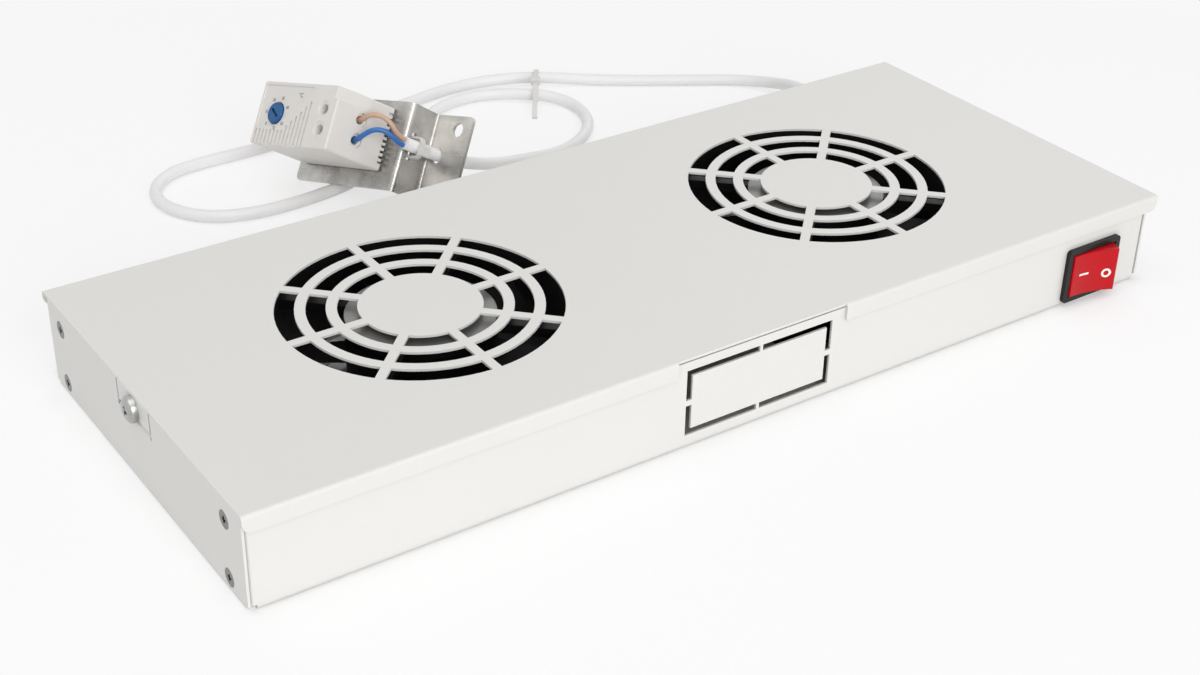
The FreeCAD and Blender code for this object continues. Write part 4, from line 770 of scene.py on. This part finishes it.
class FANTRAY_OT_switch(bpy.types.Operator):
    """Finish the rocker switch: softened edges on the rocker and its two printed marks"""

    bl_idname = "fan_tray.switch"
    bl_label = "Rocker switch"

    def execute(self, context):
        black = moulded("black_polyamide_bezel", colours().black, 0.36, specular_ior_level=0.25)
        dress(black, "switch_housing")
        dress(bare_metal("tinned_brass_terminals", linear("#C9B27A"), 0.3, 0.0008), "switch_terminals")

        # Polycarbonate from a polished mould: the one glossy plastic on the tray.
        gloss = moulded("red_polycarbonate", colours().rocker, 0.22, 0.000008, 0.002,
                        specular_ior_level=0.22)
        rocker = softened_copy("rocker_cap", "switch_rocker", width=0.0005)
        finish_piece(rocker, gloss, "rocker", "red_plastic", "switch_rocker")

        # Pad-printing ink: matt, and a little uneven.
        ink = moulded("white_pad_printing_ink", colours().mark, 0.5, 0.00001, 0.0006)
        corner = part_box("switch_rocker")[0]
        for mark, (across, up) in ((self.dash(), ON_MARK), (self.ring(), OFF_MARK)):
            lay = facing((0, -1, 0), (corner.x + across, corner.y - MARK_START, corner.z + up))
            printed_on(mark, rocker, lay)
            finish_piece(mark, ink, "rocker", "white_plastic")
        return {"FINISHED"}

    def dash(self):
        """The on mark, with enough points along it to follow the rocker."""
        mark = start("on_mark", bpy.ops.mesh.primitive_plane_add, size=sizes().stroke)
        edit(mark)
        bpy.ops.mesh.select_all(action="SELECT")
        bpy.ops.transform.resize(value=(sizes().dash / sizes().stroke, 1, 1))
        bpy.ops.mesh.subdivide(number_cuts=9)
        bpy.ops.object.mode_set(mode="OBJECT")
        return mark

    def ring(self):
        """The off mark."""
        mark = start("off_mark", bpy.ops.mesh.primitive_circle_add, vertices=64,
                     radius=sizes().ring / 2)
        edit(mark)
        bpy.ops.mesh.select_all(action="SELECT")
        inner = 1 - 2 * sizes().stroke / sizes().ring
        bpy.ops.mesh.extrude_region_move()
        bpy.ops.transform.resize(value=(inner, inner, 1))
        bpy.ops.object.mode_set(mode="OBJECT")
        return mark


class FANTRAY_OT_inlet_and_gland(bpy.types.Operator):
    """Finish the mains inlet and the cord gland in the rear wall"""

    bl_idname = "fan_tray.inlet_and_gland"
    bl_label = "Inlet and gland"

    def execute(self, context):
        black = moulded("black_polyamide_inlet", colours().black, 0.45, specular_ior_level=0.25)
        dress(black, "inlet_body")
        dress(bare_metal("nickel_plated_pins", linear("#C6C2B8"), 0.22, 0.0006), "inlet_pins")
        white = moulded("white_polyamide_gland", linear("#DFDEDA"), 0.4)
        dress(white, "cord_gland", "gland_nut")
        return {"FINISHED"}


class FANTRAY_OT_wiring(bpy.types.Operator):
    """Finish the terminals and the wires inside the tray"""

    bl_idname = "fan_tray.wiring"
    bl_label = "Inner wiring"

    def execute(self, context):
        dress(moulded("natural_polyamide_block", linear("#E4E2DA"), 0.42), "terminal_block")
        dress(bare_metal("brass_terminal_screws", linear("#C8A765"), 0.3, 0.0007), "terminal_screws")
        dress(bare_metal("plated_earth_stud", linear("#B8B9B9"), 0.3, 0.0007), "earth_stud")
        dress(cord_sheath("brown_pvc_inner_wire", linear("#6A3A20"), 0.36),
              "wire_inlet_live", "wire_switched_live", "wire_stat_brown")
        dress(cord_sheath("blue_pvc_inner_wire", colours().blue, 0.36),
              "wire_inlet_neutral", "wire_stat_blue")
        dress(striped_sheath("green_yellow_pvc_wire", linear("#3E8E2F"), linear("#E2CB35"), 0.006),
              "wire_inlet_earth")
        dress(cord_sheath("black_fan_lead", linear("#1D1D1E"), 0.36),
              "lead_fan_left", "lead_fan_right")
        return {"FINISHED"}


class FANTRAY_OT_thermostat(bpy.types.Operator):
    """Finish the thermostat, its dial and its scale"""

    bl_idname = "fan_tray.thermostat"
    bl_label = "Thermostat"

    def execute(self, context):
        dress(moulded("light_grey_abs", colours().thermostat, 0.44, 0.00003, 0.0008),
              "thermostat_housing", "thermostat_cover", "thermostat_latch")
        dress(bare_metal("nickel_plated_clamps", linear("#9D9C97"), 0.34, 0.0006),
              "thermostat_clamps")
        dress(bare_metal("bimetal_strip", linear("#B7A77C"), 0.3, 0.0009), "thermostat_bimetal")
        dress(galvanised_sheet(), "thermostat_bracket")
        self.turn_dial()
        self.print_scale()
        return {"FINISHED"}

    def turn_dial(self):
        """The dial: a knob with a rounded rim, a slot for a screwdriver and a stem below."""
        radius = sizes().dial / 2
        knob = start("dial_knob", bpy.ops.mesh.primitive_cylinder_add, vertices=72, radius=radius,
                     depth=KNOB_RIM - KNOB_FOOT, location=(0, 0, (KNOB_FOOT + KNOB_RIM) / 2))
        put(knob)
        edit(knob)
        # Levels and shares of the dial's radius.
        rim = ((0.0334, 0.985), (0.0338, 0.93), (0.0339, 0.89), (0.0337, 0.87))
        stem = ((KNOB_FOOT, 0.38), (STEM_FOOT, 0.38))
        for side, rings, level in ((1, rim, KNOB_RIM), (-1, stem, KNOB_FOOT)):
            pick(knob, side)
            draw_out(rings, level, 1.0)
        bpy.ops.object.mode_set(mode="OBJECT")

        slot = start("slot", bpy.ops.mesh.primitive_cube_add, size=SLOT_LENGTH,
                     location=(0, 0, rim[-1][0]))
        put(slot)
        edit(slot)
        bpy.ops.mesh.select_all(action="SELECT")
        bpy.ops.transform.resize(value=(1, 0.2, 0.36))
        bpy.ops.object.mode_set(mode="OBJECT")
        put(slot, Matrix.Rotation(math.radians(SLOT_ANGLE), 4, "Z"))
        cut_out(knob, slot)
        put(knob, THERMOSTAT @ Matrix.Translation((*DIAL_CENTRE, 0)))
        blue = moulded("blue_polyamide_dial", colours().dial, 0.3, specular_ior_level=0.35)
        finish_piece(knob, blue, "dial", "blue_plastic", "thermostat_dial")

    def print_scale(self):
        """The numbers round the dial and the unit, as a thin film of ink."""
        marks = []
        for number, (angle, reach, level) in DIAL_NUMBERS.items():
            across = DIAL_CENTRE[0] + reach * math.cos(math.radians(angle))
            along = DIAL_CENTRE[1] + reach * math.sin(math.radians(angle))
            marks.append((number, sizes().digit, (across, along, level)))
        marks.append(("°C", sizes().digit * UNIT_HEIGHT, UNIT_PLACE))
        words = []
        for text, height, place in marks:
            word = start("dial_scale", bpy.ops.object.text_add)
            word.data.body = text
            word.data.align_x = "CENTER"
            word.data.align_y = "CENTER"
            # A figure is 0.7 of its type's size high.
            word.data.size = height / 0.7
            word.data.offset = INK_FILM / 2
            word.data.extrude = INK_FILM / 3
            bpy.ops.object.convert(target="MESH")
            put(word, THERMOSTAT @ Matrix.Translation(place))
            words.append(word)
        ink = moulded("grey_pad_printing_ink", colours().scale, 0.5, 0.00001, 0.0006)
        finish_piece(join(words, "dial_scale"), ink, "tray", "white_plastic")


class FANTRAY_OT_cords(bpy.types.Operator):
    """Lay the thermostat's cord and its two cores"""

    bl_idname = "fan_tray.cords"
    bl_label = "Cord and cores"

    def execute(self, context):
        # Natural nylon lets a little light through, so the ties look milky beside the white sheath.
        nylon = moulded("natural_nylon_tie", linear("#F1F0ED"), 0.32, transmission_weight=0.35)
        dress(nylon, "cord_tie", "bracket_tie")
        cord = nurbs("thermostat_lead", CORD_ROUTE, sizes().cord)
        white = cord_sheath("white_pvc_sheath", colours().cord, 0.38)
        finish_piece(cord, white, "tray", "cord_white", "thermostat_cord")
        for name, route, colour, node in (
            ("brown_core", BROWN_ROUTE, colours().brown, "wire_brown"),
            ("blue_core", BLUE_ROUTE, colours().blue, "wire_blue"),
        ):
            world = [tuple(THERMOSTAT @ Vector(point)) for point in route]
            core = nurbs(name, world, sizes().core)
            finish_piece(core, cord_sheath(name + "_pvc", colour, 0.34), "tray", node, node)
        return {"FINISHED"}


class FANTRAY_OT_stage(bpy.types.Operator):
    """Set the floor, the lamps and the camera"""

    bl_idname = "fan_tray.stage"
    bl_label = "Stage"

    def execute(self, context):
        self.lay_floor()
        self.light_world(context.scene)
        self.hang_lamps(context.scene)
        self.set_camera(context.scene)
        context.scene.view_settings.view_transform = "Standard"
        return {"FINISHED"}

    def seen(self, tree):
        """1 for a ray that the eye follows, straight, off metal or through glass, 0 for others."""
        ray = add_node(tree, "ShaderNodeLightPath")
        level = ray.outputs["Is Camera Ray"]
        for kind in ("Is Glossy Ray", "Is Transmission Ray"):
            either = add_node(tree, "ShaderNodeMath", {0: level, 1: ray.outputs[kind]},
                              operation="MAXIMUM")
            level = either.outputs[0]
        return level

    def lay_floor(self):
        """White paper: it takes the tray's soft shadows and runs out into the white backdrop."""
        floor = start("floor", bpy.ops.mesh.primitive_plane_add, size=8.0,
                      location=(0, 0, FLOOR_LEVEL))
        material, tree, shader, place = new_material(
            "matt_white_paper", base_color=linear("#FAFAFA"), roughness=0.9)
        fibre = add_node(tree, "ShaderNodeTexNoise", {"Vector": place, "Scale": 300.0, "Detail": 2.0})
        rough = add_node(tree, "ShaderNodeMapRange", {
            "Value": fibre.outputs[0], "To Min": 0.85, "To Max": 0.95,
        })
        tree.links.new(rough.outputs[0], shader.inputs["Roughness"])

        # The glow stops under the tray, where the floor is seen only through the fans.
        around = add_node(tree, "ShaderNodeVectorMath", {0: place}, operation="ABSOLUTE")
        past = add_node(tree, "ShaderNodeVectorMath", {0: around.outputs[0], 1: HALF_TRAY},
                        operation="SUBTRACT")
        side = add_node(tree, "ShaderNodeSeparateXYZ", {"Vector": past.outputs[0]})
        far = add_node(tree, "ShaderNodeMath", {0: side.outputs[0], 1: side.outputs[1]},
                       operation="MAXIMUM")
        open_floor = add_node(tree, "ShaderNodeMapRange", {
            "Value": far.outputs[0], "From Min": -0.01, "From Max": 0.0,
        })
        # It grows to full white further off, where no shadow falls.
        reach = add_node(tree, "ShaderNodeVectorMath", {0: place}, operation="LENGTH")
        fade = add_node(tree, "ShaderNodeMapRange", {
            "Value": reach.outputs["Value"], "From Min": GLOW_START, "From Max": GLOW_END,
            "To Min": FLOOR_GLOW, "To Max": 1.0,
        })
        glow = add_node(tree, "ShaderNodeMath", {0: open_floor.outputs[0], 1: fade.outputs[0]},
                        operation="MULTIPLY")
        share = add_node(tree, "ShaderNodeMath", {0: self.seen(tree), 1: glow.outputs[0]},
                         operation="MULTIPLY")
        white = add_node(tree, "ShaderNodeEmission", {"Color": (1, 1, 1, 1), "Strength": 1.0})
        mixed = add_node(tree, "ShaderNodeMixShader", {
            0: share.outputs[0], 1: shader.outputs[0], 2: white.outputs[0],
        })
        output = next(node for node in tree.nodes if node.type == "OUTPUT_MATERIAL")
        tree.links.new(mixed.outputs[0], output.inputs["Surface"])
        floor.data.materials.append(material)

    def light_world(self, scene):
        """White all round: dimmer as a light than as a backdrop."""
        world = bpy.data.worlds.new("soft_studio")
        scene.world = world
        world.use_nodes = True
        tree = world.node_tree
        tree.nodes.clear()
        level = add_node(tree, "ShaderNodeMapRange", {
            "Value": self.seen(tree), "To Min": 0.45, "To Max": 1.0,
        })
        sky = add_node(tree, "ShaderNodeBackground", {
            "Color": (1, 1, 1, 1), "Strength": level.outputs[0],
        })
        add_node(tree, "ShaderNodeOutputWorld", {"Surface": sky.outputs[0]})

    def hang_lamps(self, scene):
        """Soft boxes in front and above, and a weak one behind the right end."""
        for name, place, target, width, power in (
            ("front_softbox", (-0.55, -2.2, 1.1), (0, 0, 0.02), 1.6, 34.0),
            ("top_softbox", (-0.5, 0.0, 2.2), (-0.1, 0, 0), 1.8, 13.5),
            ("rim_softbox", (1.6, 1.2, 1.2), (0, 0, 0), 1.0, 3.0),
        ):
            lamp = bpy.data.lights.new(name, "AREA")
            lamp.shape = "SQUARE"
            lamp.size = width
            lamp.energy = power
            holder = bpy.data.objects.new(name, lamp)
            holder.location = place
            aim = Vector(target) - Vector(place)
            holder.rotation_euler = aim.to_track_quat("-Z", "Y").to_euler()
            scene.collection.objects.link(holder)

    def set_camera(self, scene):
        """The camera stands off the front left corner and looks down at the tray."""
        lens = bpy.data.cameras.new("camera")
        lens.sensor_width = 36.0
        lens.lens = 57.18
        lens.dof.use_dof = False
        camera = bpy.data.objects.new("camera", lens)
        camera.matrix_world = Matrix((
            (0.82374, 0.27567, -0.49545, -0.4148),
            (-0.56664, 0.43033, -0.70266, -0.56665),
            (0.01951, 0.85955, 0.51068, 0.40978),
            (0.0, 0.0, 0.0, 1.0),
        ))
        scene.collection.objects.link(camera)
        scene.camera = camera


STEPS = [
    FANTRAY_OT_sheet_metal,
    FANTRAY_OT_fasteners,
    FANTRAY_OT_fans,
    FANTRAY_OT_switch,
    FANTRAY_OT_inlet_and_gland,
    FANTRAY_OT_wiring,
    FANTRAY_OT_thermostat,
    FANTRAY_OT_cords,
    FANTRAY_OT_stage,
]


class FANTRAY_PT_steps(bpy.types.Panel):
    """Lists the steps that dress the tray"""

    bl_idname = "FANTRAY_PT_steps"
    bl_label = "Rack fan tray"
    bl_space_type = "VIEW_3D"
    bl_region_type = "UI"
    bl_category = "Fan Tray"

    def draw(self, context):
        for step in STEPS:
            self.layout.operator(step.bl_idname)
        for group in (context.scene.fan_tray_colours, context.scene.fan_tray_sizes):
            for name in group.__annotations__:
                self.layout.prop(group, name)


CLASSES = [FanTrayColours, FanTraySizes, *STEPS, FANTRAY_PT_steps]


def register():
    for item in CLASSES:
        bpy.utils.register_class(item)
    bpy.types.Scene.fan_tray_colours = bpy.props.PointerProperty(type=FanTrayColours)
    bpy.types.Scene.fan_tray_sizes = bpy.props.PointerProperty(type=FanTraySizes)


def unregister():
    del bpy.types.Scene.fan_tray_sizes
    del bpy.types.Scene.fan_tray_colours
    for item in reversed(CLASSES):
        bpy.utils.unregister_class(item)


def main():
    register()
    bpy.ops.fan_tray.sheet_metal()
    bpy.ops.fan_tray.fasteners()
    bpy.ops.fan_tray.fans()
    bpy.ops.fan_tray.switch()
    bpy.ops.fan_tray.inlet_and_gland()
    bpy.ops.fan_tray.wiring()
    bpy.ops.fan_tray.thermostat()
    bpy.ops.fan_tray.cords()
    bpy.ops.fan_tray.stage()


if __name__ == "__main__":
    main()
